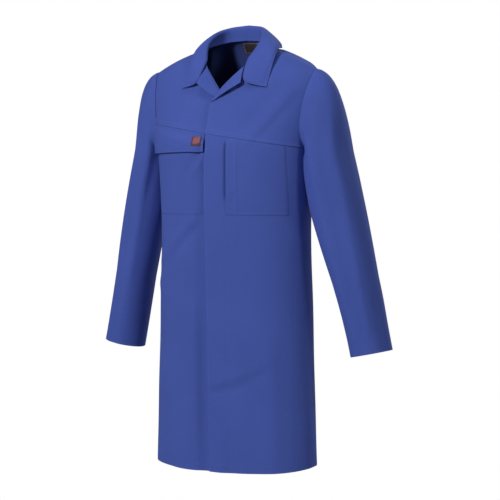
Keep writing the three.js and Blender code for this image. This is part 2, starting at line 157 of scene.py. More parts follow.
# ---- The body form ----
# Cross sections from the hem up: height, half width, depth to the front and to the back, squareness.
SECTIONS = np.array(
    [
        [-COAT_LENGTH - HEM_DIP, HEM_HALF, 104, 106, 2.2],
        [-800, lerp(HEM_HALF, WAIST_HALF, 0.35), 110, 102, 2.2],
        [-600, lerp(HEM_HALF, WAIST_HALF, 0.68), 116, 100, 2.2],
        [-400, WAIST_HALF, CHEST_FRONT + 5, CHEST_BACK - 14, 2.2],
        [-270, CHEST_HALF - 7, CHEST_FRONT + 6, CHEST_BACK, 2.3],
        [-200, CHEST_HALF, CHEST_FRONT, CHEST_BACK, 2.3],
        [-130, CHEST_HALF + 9, CHEST_FRONT - 20, CHEST_BACK - 6, 2.3],
        [-90, SHOULDER_HALF + 5, 79, 104, 2.2],
        [-SHOULDER_DROP, SHOULDER_HALF - 1, 61, 97, 2.1],
        [-40, SHOULDER_HALF - 22, 54, 93, 2.05],
        [-20, lerp(NECK_HALF, SHOULDER_HALF, 0.4), 43, 86, 2],
        [0, NECK_HALF, 30, 76, 2],
        [20, NECK_HALF - 18, 20, 60, 2],
    ],
    float,
)
BEFORE = SECTIONS[np.maximum(np.arange(len(SECTIONS)) - 1, 0)]
AFTER = SECTIONS[np.minimum(np.arange(len(SECTIONS)) + 1, len(SECTIONS) - 1)]
SLOPES = (AFTER - BEFORE)[:, 1:] / (AFTER - BEFORE)[:, :1]


def section_at(z):
    """Half width, depths and squareness at heights, on a smooth curve through the sections."""
    z = np.asarray(z, float)
    low = np.searchsorted(SECTIONS[:, 0], z, side="right") - 1
    low = np.clip(low, 0, len(SECTIONS) - 2)
    lower, upper = SECTIONS[low], SECTIONS[low + 1]
    rise = upper[..., :1] - lower[..., :1]
    t = (z[..., None] - lower[..., :1]) / rise
    bend = t * (1 - t) * ((1 - t) * SLOPES[low] - t * SLOPES[low + 1]) * rise
    found = lower[..., 1:] + (upper - lower)[..., 1:] * t * t * (3 - 2 * t) + bend
    return np.moveaxis(found, -1, 0)


@elementwise
def form(angle, z):
    """Points of the form at angles round the body: 0 at the front, 90 degrees at the wearer's left."""
    half, front, back, square = section_at(z)
    depth = np.where(np.cos(angle) > 0, front, back)
    x = half * power(np.sin(angle), 2 / square)
    y = -depth * power(np.cos(angle), 2 / square)
    return points_of(x, y, z)


def angle_at(x, z):
    """Angles at which the front of the form has a given x."""
    half, _, _, square = section_at(z)
    return np.sign(x) * np.arcsin(np.minimum(np.abs(x / half), 1) ** (square / 2))


def height_over(x, y):
    """Height at which the form passes over a place near the shoulders."""
    low, high = -200.0, 20.0
    for _ in range(40):
        z = (low + high) / 2
        half, front, back, square = section_at(z)
        reach = abs(x / half) ** square + abs(y / (front if y < 0 else back)) ** square
        if reach < 1:
            low = z
        else:
            high = z
    return low


def level_normal(points):
    """The form's own direction out of the body, level with the ground."""
    x, y, z = np.moveaxis(points, -1, 0)
    half, front, back, square = section_at(z)
    depth = np.where(y < 0, front, back)
    out_x = power(x / half, square - 1) / half
    out_y = power(y / depth, square - 1) / depth
    return unit(points_of(out_x, out_y, 0 * z))


# ---- Seam lines ----
def curve(*knots):
    """A centripetal Catmull-Rom curve through its knots, for parameters 0 to 1."""
    knots = np.array(knots, float)
    padded = np.vstack([2 * knots[0] - knots[1], knots, 2 * knots[-1] - knots[-2]])
    gaps = np.linalg.norm(np.diff(padded, axis=0), axis=1) ** 0.5
    last = len(knots) - 2

    def at(t):
        place = np.clip(np.asarray(t, float), 0, 1) * (last + 1)
        low = np.minimum(place.astype(int), last)
        w = (place - low)[..., None]
        p0, p1, p2, p3 = (padded[low + k] for k in range(4))
        g0, g1, g2 = (gaps[low + k][..., None] for k in range(3))
        m1 = (p1 - p0) / g0 - (p2 - p0) / (g0 + g1) + (p2 - p1) / g1
        m2 = (p2 - p1) / g1 - (p3 - p1) / (g1 + g2) + (p3 - p2) / g2
        m1, m2 = m1 * g1, m2 * g1
        square = -3 * p1 + 3 * p2 - 2 * m1 - m2
        cube = 2 * p1 - 2 * p2 + m1 + m2
        return p1 + m1 * w + square * w**2 + cube * w**3

    return at


def bezier(a, b, c, d, t):
    t = np.asarray(t, float)[..., None]
    return a * (1 - t) ** 3 + 3 * b * t * (1 - t) ** 2 + 3 * c * t**2 * (1 - t) + d * t**3


def hem_line(angle):
    return -COAT_LENGTH - HEM_DIP * np.maximum(np.cos(angle), 0)


def yoke_seam(x):
    return SEAM_HEIGHT + SEAM_SLOPE * x


ARMHOLE_MIDDLE = -SHOULDER_DROP - ARMHOLE_HEIGHT / 2


def armhole_angles(turn):
    """The left armhole: turn 0 is the shoulder tip, a quarter the front, a half the underarm."""
    share = 2 / ARMHOLE_SQUARE
    around = np.asarray(turn, float) * 2 * math.pi
    angle = SIDE_ANGLE - ARMHOLE_TURN * power(np.sin(around), share)
    return angle, ARMHOLE_MIDDLE + ARMHOLE_HEIGHT / 2 * power(np.cos(around), share)


def armhole(turn):
    return form(*armhole_angles(turn))


def armhole_floor(angle):
    """Lower edge of the armhole at angles round the body."""
    reach = np.minimum(np.abs(np.abs(angle) - SIDE_ANGLE) / ARMHOLE_TURN, 1)
    floor = (1 - reach**ARMHOLE_SQUARE) ** (1 / ARMHOLE_SQUARE)
    return ARMHOLE_MIDDLE - ARMHOLE_HEIGHT / 2 * floor


def front_top(angle):
    """Top of the front below the yoke: the yoke seam, then the armhole's lower edge."""
    seam = yoke_seam(form(angle, SEAM_HEIGHT)[..., 0])
    beside = np.abs(angle) < SIDE_ANGLE - ARMHOLE_TURN
    return np.where(beside, seam, np.minimum(seam, armhole_floor(angle) - 0.4))


def yoke_end(side):
    """Where the yoke seam meets the armhole, as a turn of the armhole."""
    low, high = 0.2, 0.5
    for _ in range(40):
        turn = (low + high) / 2
        angle, z = armhole_angles(turn)
        if z > yoke_seam(side * form(angle, z)[0]):
            low = turn
        else:
            high = turn
    return low


SHOULDER_ARCH = 5
SHOULDER_POINT = 0.56  # how far along the neck seam the shoulder seam meets it
COLLAR_LIFT = 9  # outer edge of the collar above the shoulder
COLLAR_REACH = ((0, 82), (52, 70), (92, 34), (108, -24), (111, -78))
neck_line = curve((0, 60, 18), (44, 48, 14), (70, 16, 4), (75, -12, -6), (54, -51, -42))
roll_line = curve((0, 62, 52), (42, 50, 46), (62, 16, 32), (70, -12, 8), (54, -53, -40))
break_line = curve(neck_line(1), (26, -73, -73), (-2, -89, -107), (PLACKET_EDGE + 3, -100, -133))
collar_edge = curve(*[(x, y, height_over(x, y) + COLLAR_LIFT) for x, y in COLLAR_REACH])
LAPEL_CORNER = np.array([58.0, -91.0, -86.0])


def shoulder_seam(t):
    """Shoulder seam from the neck, t = 0, to the shoulder tip, slightly arched."""
    t = np.asarray(t, float)[..., None]
    ridge_line = lerp(neck_line(SHOULDER_POINT), armhole(0), t)
    return ridge_line + np.array([0, 0, SHOULDER_ARCH]) * np.sin(math.pi * t)


# ---- Surfaces ----
def coons(bottom, top, left, right):
    """Surface between four boundary curves that meet at their ends."""

    @elementwise
    def surface(u, v):
        s, t = u[..., None], v[..., None]
        across = lerp(bottom(u), top(u), t)
        along = lerp(left(v), right(v), s)
        low = lerp(bottom(0 * u), bottom(0 * u + 1), s)
        high = lerp(top(0 * u), top(0 * u + 1), s)
        return across + along - lerp(low, high, t)

    return surface


def on_form(left_angle, right_angle, bottom, top):
    """Surface on the form between two angle limits and two heights."""

    def surface(u, v):
        near_z = lerp(bottom(0.0), SEAM_HEIGHT, v)
        angle = lerp(left_angle(near_z), right_angle(near_z), u)
        return form(angle, lerp(bottom(angle), top(angle), v))

    return surface


def mirror(points):
    return points * np.array([-1.0, 1.0, 1.0])


def turned_over(surface):
    """The same surface seen from its other side."""
    return lambda u, v: surface(1 - np.asarray(u, float), v)


def mirrored(surface):
    """The same surface on the other side of the body, still facing out."""
    return lambda u, v: mirror(turned_over(surface)(u, v))


def at_x(x):
    return lambda z: angle_at(x, z)


def at_angle(angle):
    return lambda z: angle


# ---- Folds ----
def ridge(a, b, start, stop, width, height):
    """A soft ridge of a height along the line from start to stop on the map (a, b)."""
    along = np.subtract(stop, start).astype(float)
    length = np.hypot(*along)
    along /= length
    da, db = a - start[0], b - start[1]
    down = da * along[0] + db * along[1]
    off = db * along[0] - da * along[1]
    past = np.maximum(np.maximum(-down, down - length), 0)
    return height * np.exp(-((off / width) ** 2) - (past / (2.5 * width)) ** 2)


# Start and stop (x, z), width and height of each fold, seen from the front.
FRONT_FOLDS = (
    ((6, -806), (60, -790), 12, -1.9),
    ((60, -790), (108, -762), 13, -1.6),
    ((6, -786), (90, -756), 15, 1.4),
    ((12, -806), (2, -880), 10, -2.0),
    ((-34, -640), (-38, -990), 14, -4.5),
    ((-66, -700), (-74, -990), 22, 3.0),
    ((-150, -490), (-66, -416), 10, 4.0),
    ((-140, -510), (-58, -436), 11, -2.8),
    ((96, -212), (166, -116), 10, 1.6),
    ((112, -214), (178, -130), 9, -1.2),
    ((70, -190), (150, -92), 11, -1.2),
    ((-64, -286), (-34, -246), 8, -3.0),
    ((-48, -292), (-22, -262), 8, 2.0),
    ((156, -700), (158, -960), 12, -0.9),
    ((132, -700), (136, -960), 16, 0.8),
    ((-120, -640), (-128, -960), 20, -2.0),
    ((60, -420), (112, -560), 24, -2.2),
    ((176, -446), (190, -470), 6, 2.2),
    ((-178, -560), (-120, -600), 12, 2.0),
)
# The same for the back, seen from the front.
BACK_FOLDS = (
    ((-70, -330), (-84, -640), 20, 4.0),
    ((64, -300), (78, -620), 22, 4.0),
    ((-20, -380), (-26, -640), 16, -3.2),
    ((120, -260), (60, -420), 16, -3.0),
    ((-126, -250), (-60, -400), 16, -3.4),
    ((-140, -640), (-150, -980), 24, 3.6),
    ((108, -600), (118, -980), 22, 3.8),
    ((60, -700), (56, -980), 16, -3.0),
    ((-84, -720), (-80, -980), 16, -3.0),
    ((-150, -170), (-80, -120), 14, 2.4),
    ((146, -176), (84, -118), 14, 2.4),
)


def body_folds(points):
    """How far the body's cloth stands out of the form at these points."""
    x, y, z = np.moveaxis(points, -1, 0)
    amount = np.zeros(x.shape)
    for start, stop, width, height in FRONT_FOLDS:
        amount += ridge(x, z, start, stop, width, height) * smooth(y, 30, -10)
    for start, stop, width, height in BACK_FOLDS:
        amount += ridge(x, z, start, stop, width, height) * smooth(y, 10, 50)
    angle = np.arctan2(x, -y)
    skirt = smooth(z, -520, -COAT_LENGTH)
    amount += 1.3 * skirt * np.sin(7 * angle + 0.8) + 1.2 * skirt * np.sin(13 * angle + z / 160)
    amount += 0.7 * np.sin(x / 27 + z / 61) * np.sin(z / 83 + 1.3)
    return amount * smooth(z, -60, -120)


def draped(surface):
    """The surface with the body's folds on it."""

    def folded(u, v):
        points = surface(u, v)
        return points + body_folds(points)[..., None] * level_normal(points)

    return folded


# Folds of a sleeve: start and stop (turn, down), width and height. Widths are in the sleeve's own
# map, where 1 is the way round and 1 is the way down.
SLEEVE_FOLDS = (
    ((0.14, 0.20), (0.17, 0.86), 0.030, 2.4),
    ((0.22, 0.26), (0.23, 0.95), 0.026, -2.4),
    ((0.31, 0.18), (0.29, 0.70), 0.034, 2.6),
    ((0.04, 0.30), (0.07, 0.95), 0.032, -1.8),
    ((-0.08, 0.25), (-0.06, 0.80), 0.034, 2.2),
    ((-0.22, 0.30), (-0.20, 0.85), 0.034, -2.4),
    ((0.40, 0.16), (0.34, 0.40), 0.034, -3.0),
    ((0.52, 0.16), (0.46, 0.45), 0.034, 2.6),
    ((-0.36, 0.20), (-0.32, 0.50), 0.034, 2.6),
)


def sleeve_folds(turn, down):
    wrapped = (np.asarray(turn, float) + 0.45) % 1 - 0.45
    amount = np.zeros(wrapped.shape)
    for start, stop, width, height in SLEEVE_FOLDS:
        amount += ridge(wrapped, down, start, stop, width, height)
    amount += 0.6 * np.sin(2 * math.pi * (3 * wrapped + 1.7 * down))
    return amount * smooth(down, 0.04, 0.2)


# ---- Shells of cloth ----
# Distances from an edge at which a shell's mesh has lines.
NEAR_EDGE = (0, 0.12, 0.4, 1.1, 1.8, 2.5, 4.2, 6.6, 7.5, 8.4)
EDGE_ROOM = 2.4  # in a sheet narrower than this many times the last of them, they draw together
DENT_DEPTH = 0.55  # share of the thickness that a stitch line pinches away on each face
DENT_WIDTH = 0.9
EDGE_SHARE = 0.08  # of the thickness that is left at a rounded edge


def lines_across(length, step):
    """Mesh lines between two edges, each at a + b * length."""
    near = np.array(NEAR_EDGE, float)
    count = max(int(round((length - 2 * near[-1]) / step)), 2)
    inner = np.linspace(0, 1, count + 1)[1:-1]
    a = np.concatenate([near, near[-1] * (1 - 2 * inner), -near[::-1]])
    b = np.concatenate([0 * near, inner, 0 * near + 1])
    return a, b


def shares(a, b, lengths):
    """The lines as shares of each length."""
    lengths = np.asarray(lengths, float)[..., None]
    fit = np.minimum(1, lengths / (EDGE_ROOM * NEAR_EDGE[-1]))
    return np.clip(a * fit / lengths + b, 0, 1)


def sink(depth):
    """The rise of a sheet that lies a depth inside its surface."""
    return lambda points, away: -depth


class Shell:
    """A closed sheet of cloth over surface(u, v), from rise to rise + thick outside it.

    flush names the edges that meet a neighbour in one cloth, which aren't rounded. stitches lists
    (edge, inset). rise(points, away) may use away, the distances to the four edges. step is the size
    of the mesh's cells away from the edges.
    """

    SAMPLES = 41

    def __init__(self, surface, step=8, rise=None, thick=CLOTH, flush=(), stitches=()):
        self.surface = surface
        self.rise = rise or sink(0)
        self.thick = thick
        self.flush = flush
        self.stitches = stitches
        self.step = step
        s = np.linspace(0, 1, self.SAMPLES)
        fine = surface(s[None, :], s[:, None])
        self.s = s
        self.widths = np.linalg.norm(np.diff(fine, axis=1), axis=-1).sum(1).clip(1)
        self.heights = np.linalg.norm(np.diff(fine, axis=0), axis=-1).sum(0).clip(1)

    def normals(self, u, v):
        step = 0.0015
        across = self.surface(u + step, v) - self.surface(u - step, v)
        up = self.surface(u, v + step) - self.surface(u, v - step)
        return unit(np.cross(across, up))

    def edge_distances(self, u, v):
        width = np.interp(v, self.s, self.widths)
        height = np.interp(u, self.s, self.heights)
        return {
            "left": u * width,
            "right": (1 - u) * width,
            "bottom": v * height,
            "top": (1 - v) * height,
        }

    def faces_at(self, u, v):
        """Outer and inner points, the normals, and the distance to the nearest rounded edge."""
        away = self.edge_distances(u, v)
        near = np.min([away[edge] for edge in away if edge not in self.flush], axis=0)
        half = lerp(EDGE_SHARE, 1, np.sqrt(1 - (1 - np.minimum(near / EDGE_ROUND, 1)) ** 2))
        for edge, inset in self.stitches:
            half = half - DENT_DEPTH * np.exp(-(((away[edge] - inset) / DENT_WIDTH) ** 2))
        points = self.surface(u, v)
        normals = self.normals(u, v)
        middle = self.rise(points, away) + self.thick / 2
        half = half * self.thick / 2
        outer = points + (middle + half)[..., None] * normals
        inner = points + (middle - half)[..., None] * normals
        return outer, inner, normals, near

    def grid(self):
        row_a, row_b = lines_across(self.heights.mean(), self.step)
        column_a, column_b = lines_across(self.widths.mean(), self.step)
        row_v = shares(row_a, row_b, self.heights.mean())
        column_u = shares(column_a, column_b, self.widths.mean())
        u = shares(column_a, column_b, np.interp(row_v, self.s, self.widths))
        v = shares(row_a, row_b, np.interp(column_u, self.s, self.heights)).T
        return u, v

    def stitch_line(self, edge, inset):
        """Places, directions and normals of the stitches beside an edge."""
        along = np.linspace(0, 1, 400)
        upright = edge in ("left", "right")
        lengths = np.interp(along, self.s, self.widths if upright else self.heights)
        across = np.minimum(inset / lengths, 0.45)
        if edge in ("right", "top"):
            across = 1 - across
        outer, _, normals, _ = self.faces_at(*((across, along) if upright else (along, across)))
        run = np.concatenate([[0], np.cumsum(np.linalg.norm(np.diff(outer, axis=0), axis=1))])
        count = int((run[-1] - 2 * STITCH_PITCH) / STITCH_PITCH)
        at = STITCH_PITCH * (1 + np.arange(max(count, 0)))

        def sample(places, values):
            return np.stack([np.interp(places, run, values[:, k]) for k in range(3)], axis=-1)

        place = sample(at, outer)
        return place, unit(sample(at + 1, outer) - place), unit(sample(at, normals))


def stitch_mesh(place, along, normal):
    """Long narrow lozenges, one closed solid for each stitch."""
    side = np.cross(normal, along)
    half = STITCH_LENGTH / 2
    corners = [
        place - half * along,
        place + 0.5 * STITCH_WIDTH * side,
        place + half * along,
        place - 0.5 * STITCH_WIDTH * side,
        place + STITCH_HEIGHT * normal,
        place - STITCH_HEIGHT * normal,
    ]
    points = np.stack(corners, axis=1).reshape(-1, 3)
    one = np.array(
        [[0, 3, 4], [3, 2, 4], [2, 1, 4], [1, 0, 4], [3, 0, 5], [2, 3, 5], [1, 2, 5], [0, 1, 5]]
    )
    faces = (one[None] + 6 * np.arange(len(place))[:, None, None]).reshape(-1, 3)
    return points, faces


def shell_faces(rows, columns):
    """Quads of a closed shell whose outer points come before its inner ones."""
    outer = np.arange(rows * columns).reshape(rows, columns)
    inner = outer + rows * columns
    face = [outer[:-1, :-1], outer[:-1, 1:], outer[1:, 1:], outer[1:, :-1]]
    back = [inner[:-1, :-1], inner[1:, :-1], inner[1:, 1:], inner[:-1, 1:]]
    bottom = [inner[0, :-1], inner[0, 1:], outer[0, 1:], outer[0, :-1]]
    top = [outer[-1, :-1], outer[-1, 1:], inner[-1, 1:], inner[-1, :-1]]
    left = [inner[:-1, 0], outer[:-1, 0], outer[1:, 0], inner[1:, 0]]
    right = [outer[:-1, -1], inner[:-1, -1], inner[1:, -1], outer[1:, -1]]
    sides = (face, back, bottom, top, left, right)
    return [np.stack([corner.ravel() for corner in side], axis=-1) for side in sides]


def new_mesh(name, points, polygons, slots, materials, uv=None, wear_and_highlight=None):
    """A smooth mesh object from points in millimetres and a list of (n, corners) index arrays."""
    mesh = bpy.data.meshes.new(name)
    counts = np.concatenate([np.full(len(p), p.shape[1]) for p in polygons])
    corners = np.concatenate([p.ravel() for p in polygons]).astype(np.int32)
    mesh.vertices.add(len(points))
    mesh.vertices.foreach_set("co", (points * MM).astype(np.float32).ravel())
    mesh.loops.add(len(corners))
    mesh.loops.foreach_set("vertex_index", corners)
    mesh.polygons.add(len(counts))
    starts = np.concatenate([[0], np.cumsum(counts)[:-1]]).astype(np.int32)
    mesh.polygons.foreach_set("loop_start", starts)
    mesh.polygons.foreach_set("material_index", slots.astype(np.int32))
    mesh.polygons.foreach_set("use_smooth", np.ones(len(counts), bool))
    mesh.update(calc_edges=True)
    for material in materials:
        mesh.materials.append(material)
    if uv is not None:
        layer = mesh.uv_layers.new(name="Cloth")
        layer.data.foreach_set("uv", uv[corners].astype(np.float32).ravel())
    if wear_and_highlight is not None:
        attribute = mesh.attributes.new("wear_and_highlight", "FLOAT", "POINT")
        attribute.data.foreach_set("value", wear_and_highlight.astype(np.float32))
    mesh.validate()
    piece = bpy.data.objects.new(name, mesh)
    bpy.context.scene.collection.objects.link(piece)
    return piece


def add_piece(name, shell, materials):
    """materials are those of the outer face, the inner face and the thread.
    """
    u, v = shell.grid()
    outer, inner, _, near = shell.faces_at(u, v)
    rows, columns = u.shape
    width = np.interp(v, shell.s, shell.widths)
    height = np.interp(u, shell.s, shell.heights)
    flat_uv = np.stack([u * width, v * height], axis=-1).reshape(-1, 2) * MM
    # Paler near the rounded edges: partly wear, partly a painted highlight along the seams and edges.
    worn_and_highlit = np.exp(-near / 2.2).ravel()
    points = [outer.reshape(-1, 3), inner.reshape(-1, 3)]
    uv, wear_and_highlight = [flat_uv, flat_uv], [worn_and_highlit, worn_and_highlit]
    quads = shell_faces(rows, columns)
    slots = [np.full(len(q), 1 if index == 1 else 0) for index, q in enumerate(quads)]
    polygons = [np.concatenate(quads)]
    count = 2 * rows * columns
    for line in shell.stitches:
        thread_points, thread_faces = stitch_mesh(*shell.stitch_line(*line))
        points.append(thread_points)
        polygons.append(thread_faces + count)
        slots.append(np.full(len(thread_faces), 2))
        uv.append(np.zeros((len(thread_points), 2)))
        wear_and_highlight.append(np.zeros(len(thread_points)))
        count += len(thread_points)
    piece = new_mesh(
        name,
        np.concatenate(points),
        polygons,
        np.concatenate(slots),
        materials,
        np.concatenate(uv),
        np.concatenate(wear_and_highlight),
    )
    flat = (shell.widths.max() * MM, shell.heights.max() * MM)
    middle = (outer + inner) / 2
    a = middle[1:, 1:] - middle[:-1, :-1]
    b = middle[1:, :-1] - middle[:-1, 1:]
    area = np.linalg.norm(np.cross(a, b), axis=-1).sum() / 2 * MM**2
    area = float(np.clip(area, 0.3 * flat[0] * flat[1], flat[0] * flat[1]))
    return piece


# ---- Materials ----
def set_node(tree, node, **values):
    """Sets a node's inputs by name, from sockets or values, and its properties by prop_ names."""
    for name, value in values.items():
        if name.startswith("prop_"):
            setattr(node, name[5:], value)
        elif isinstance(value, bpy.types.NodeSocket):
            tree.links.new(value, node.inputs[name.replace("_", " ")])
        else:
            node.inputs[name.replace("_", " ")].default_value = value
    return node


def add_node(tree, kind, **values):
    return set_node(tree, tree.nodes.new(kind), **values)


def new_material(name):
    """A new material, its node tree and its Principled shader."""
    material = bpy.data.materials.new(name)
    material.use_nodes = True
    return material, material.node_tree, material.node_tree.nodes["Principled BSDF"]


def mix_color(tree, factor, a, b):
    """A colour mix; each of factor, a and b is a socket or a value."""
    node = add_node(tree, "ShaderNodeMix", prop_data_type="RGBA")
    for index, value in ((0, factor), (6, a), (7, b)):
        if isinstance(value, bpy.types.NodeSocket):
            tree.links.new(value, node.inputs[index])
        else:
            node.inputs[index].default_value = value
    return node.outputs[2]


def shaded(color, share=1.0, lift=0.0):
    """A colour made darker or paler, with its alpha."""
    return (*[min(c * share + lift, 1) for c in color], 1)


def ramp(tree, socket, low, high):
    """A value from low to high brought to 0 to 1."""
    return add_node(tree, "ShaderNodeMapRange", Value=socket, From_Min=low, From_Max=high).outputs["Result"]


def noise(tree, scale, detail, roughness=0.5):
    """Noise that stays with the object."""
    place = add_node(tree, "ShaderNodeTexCoord").outputs["Object"]
    settings = {"Scale": scale, "Detail": detail, "Roughness": roughness}
    return add_node(tree, "ShaderNodeTexNoise", Vector=place, **settings).outputs["Fac"]


def cloth_map(tree):
    """The cloth's flat map, in metres."""
    return add_node(tree, "ShaderNodeUVMap", prop_uv_map="Cloth").outputs["UV"]


TWILL_PITCH = 0.9  # between the diagonal ribs of the twill
BANDS_PER_SCALE = 3.18  # bands in a metre that the wave texture draws at scale 1


def rib_bands(tree, vector, pitch, **settings):
    """Ribs of a pitch in millimetres."""
    scale = 1 / (pitch * MM) / BANDS_PER_SCALE
    return add_node(tree, "ShaderNodeTexWave", Vector=vector, Scale=scale, **settings).outputs["Fac"]


def twill(name, color, sheen=0.06, wear_and_highlight=0.3):
    """Matt cotton twill: fine diagonal ribs, uneven dye, a soft nap, and edges paler from wear and a painted
    highlight.
    """
    material, tree, shader = new_material(name)
    diagonal = add_node(
        tree, "ShaderNodeMapping", Vector=cloth_map(tree), Rotation=(0, 0, math.radians(62))
    ).outputs["Vector"]
    ribs = rib_bands(tree, diagonal, TWILL_PITCH, Distortion=0.6, Detail=1.0)
    dye = noise(tree, 7.0, 3.0, 0.55)
    slub = noise(tree, 420.0, 2.0, 0.6)
    worn_and_highlit = add_node(tree, "ShaderNodeAttribute", prop_attribute_name="wear_and_highlight").outputs["Fac"]
    deep, even, pale = shaded(color, 0.9), shaded(color), shaded(color, 1.25, 0.012)
    base = mix_color(tree, ramp(tree, dye, 0.35, 0.65), deep, even)
    base = mix_color(tree, 0.3, base, mix_color(tree, ribs, deep, even))
    base = mix_color(tree, ramp(tree, slub, 0.55, 0.95), base, pale)
    # Edges turn paler: partly wear, partly a painted highlight.
    base = mix_color(tree, ramp(tree, worn_and_highlit, 0.0, 1 / wear_and_highlight), base, pale)
    ribbed = add_node(tree, "ShaderNodeBump", Height=ribs, Strength=0.35, Distance=0.0002)
    nap = add_node(
        tree, "ShaderNodeBump", Height=slub, Strength=0.2, Distance=0.0003, Normal=ribbed.outputs["Normal"]
    )
    set_node(tree, shader, Base_Color=base, Normal=nap.outputs["Normal"], Roughness=0.85)
    set_node(tree, shader, Sheen_Weight=sheen, Sheen_Roughness=0.5, Sheen_Tint=(0.55, 0.65, 1.0, 1))
    set_node(tree, shader, Specular_IOR_Level=0.25)
    return material


def thread(name, color):
    """Spun sewing thread with a faint lustre."""
    material, tree, shader = new_material(name)
    base = mix_color(tree, noise(tree, 900.0, 1.0), shaded(color, 0.8), shaded(color))
    set_node(tree, shader, Base_Color=base, Roughness=0.6, Sheen_Weight=0.2)
    return material


def ribbon(name, color, pitch=0.5):
    """Woven ribbon: fine level ribs across the cloth."""
    material, tree, shader = new_material(name)
    ribs = rib_bands(tree, cloth_map(tree), pitch, prop_bands_direction="Y", Distortion=0.3)
    base = mix_color(tree, ribs, shaded(color, 0.7), shaded(color))
    ribbed = add_node(tree, "ShaderNodeBump", Height=ribs, Strength=0.4, Distance=0.0002)
    set_node(tree, shader, Base_Color=base, Normal=ribbed.outputs["Normal"])
    set_node(tree, shader, Roughness=0.55, Sheen_Weight=0.3)
    return material


def nickel(name):
    """Satin nickel of the snaps, unevenly polished."""
    material, tree, shader = new_material(name)
    polish = noise(tree, 600.0, 3.0)
    base = mix_color(tree, polish, (0.42, 0.42, 0.43, 1), (0.66, 0.66, 0.67, 1))
    rough = add_node(tree, "ShaderNodeMapRange", Value=polish, To_Min=0.25, To_Max=0.45)
    set_node(tree, shader, Base_Color=base, Roughness=rough.outputs["Result"], Metallic=1.0)
    return material


BLUE = (0.060, 0.102, 0.42)
blue = twill("blue_twill", BLUE)
# The inside faces and the facings use the same twill at half its brightness: painted shade for the dim inside
# of the coat.
inside_painted_shade = twill("blue_twill_inside", tuple(c * 0.5 for c in BLUE), sheen=0.05, wear_and_highlight=0.1)
blue_thread = thread("blue_thread", (0.10, 0.15, 0.50))
red = ribbon("red_ribbon", (0.30, 0.07, 0.10))
# A darker red for the painted shadow round the flap's tab.
red_painted_shadow = ribbon("red_ribbon_painted_shadow", (0.075, 0.018, 0.04))
red_thread = thread("red_thread", (0.23, 0.07, 0.09))
black = ribbon("label_ribbon", (0.022, 0.010, 0.014))
border = ribbon("label_border", (0.32, 0.22, 0.24))
web = ribbon("fusible_web", (0.8, 0.8, 0.78), pitch=1.4)
metal = nickel("satin_nickel")
# Kinds of cloth: the slot, and the materials of the outer face, the inner face and the thread.
OUTSIDE = ("blue_twill", (blue, inside_painted_shade, blue_thread))
DOUBLE = ("blue_twill", (blue, blue, blue_thread))
FACED = ("blue_twill_inside", (inside_painted_shade, inside_painted_shade, blue_thread))
FUSED = ("interlining", (web, web, blue_thread))


def follow_front(piece):
    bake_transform(piece)


def follow_sleeve(piece, side):
    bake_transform(piece)


def follow_flap(piece):
    """On the coat the flap turns about the seam that it is sewn into; here its transform is only baked into
    its mesh.
    """
    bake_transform(piece)


def stay(piece):
    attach(piece, "root")


def finish_piece(piece, nodes, follow=stay):
    """Places a piece with its follow function and hides the CAD nodes that it replaces."""
    follow(piece)
    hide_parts(*nodes)


def cloth_piece(node, shell, cloth, follow=stay, stands_for=()):
    """A cloth piece named after the CAD node that it replaces."""
    slot, materials = cloth
    piece = add_piece(f"{node}_cloth", shell, materials)
    finish_piece(piece, (node, *stands_for), follow)


# ---- Back ----
NECK_START = 0.42  # share of the back's top edge that the shoulder seam takes
BACK_SHARE = 0.72  # lower part of the back, below the armhole
SEAM_BULGE = 9  # how far the back stands over the shoulder seam, just behind it
BULGE_SHARE = 0.16  # of the back's height from the level of the underarm, for that swell


def back_surface():
    level = armhole(0.5)[2]
    neck_back = neck_line(0)

    def crown(t):
        t = np.asarray(t, float)
        seam = shoulder_seam(1 - np.minimum(t / NECK_START, 1))
        rest = np.clip((t - NECK_START) / (1 - NECK_START), 0, 1)
        neck = neck_line(SHOULDER_POINT * (1 - rest))
        return np.where((t < NECK_START)[..., None], seam, neck)

    def spine(v):
        v = np.asarray(v, float)
        straight = form(math.pi, lerp(level, 20, v))
        end = np.array([0, neck_back[1], neck_back[2]])
        return lerp(straight, end, v[..., None])

    upper = coons(
        lambda u: form(lerp(SIDE_ANGLE, math.pi, u), level),
        crown,
        lambda v: armhole(1 - lerp(0.5, 0, v)),
        spine,
    )

    @elementwise
    def surface(u, v):
        rise = np.clip((v - BACK_SHARE) / (1 - BACK_SHARE), 0, None)
        high = upper(u, rise)
        swell = np.sin(math.pi * np.clip((1 - rise) / (2 * BULGE_SHARE), 0, 1))
        swell = swell * (1 - smooth(u, 0.3, NECK_START))
        high[..., 2] += SEAM_BULGE * swell * smooth(u, 0, 0.06)
        low = form(lerp(SIDE_ANGLE, math.pi, u), lerp(-COAT_LENGTH, level, v / BACK_SHARE))
        return np.where((v > BACK_SHARE)[..., None], high, low)

    return surface


def add_backs():
    left = back_surface()
    for side, surface, middle in (("left", left, "right"), ("right", mirrored(left), "left")):
        shell = Shell(draped(surface), stitches=[("bottom", HEM_STITCH), (middle, TOPSTITCH)])
        cloth_piece(f"back_panel_{side}", shell, OUTSIDE)

    def lap(u, v):
        turn = VENT_LAP / CHEST_BACK / 2
        return form(lerp(math.pi - turn, math.pi + turn, u), lerp(-COAT_LENGTH + 2, VENT_TOP, v))

    shell = Shell(draped(lap), rise=sink(LAYER), stitches=[("left", TOPSTITCH)])
    cloth_piece("back_vent_underlap", shell, FACED)


# ---- Yokes and fronts ----
YOKE_ROWS = (2 / 11, 8 / 11)  # shares of the yoke's front edge: placket edge, then the lapel's break


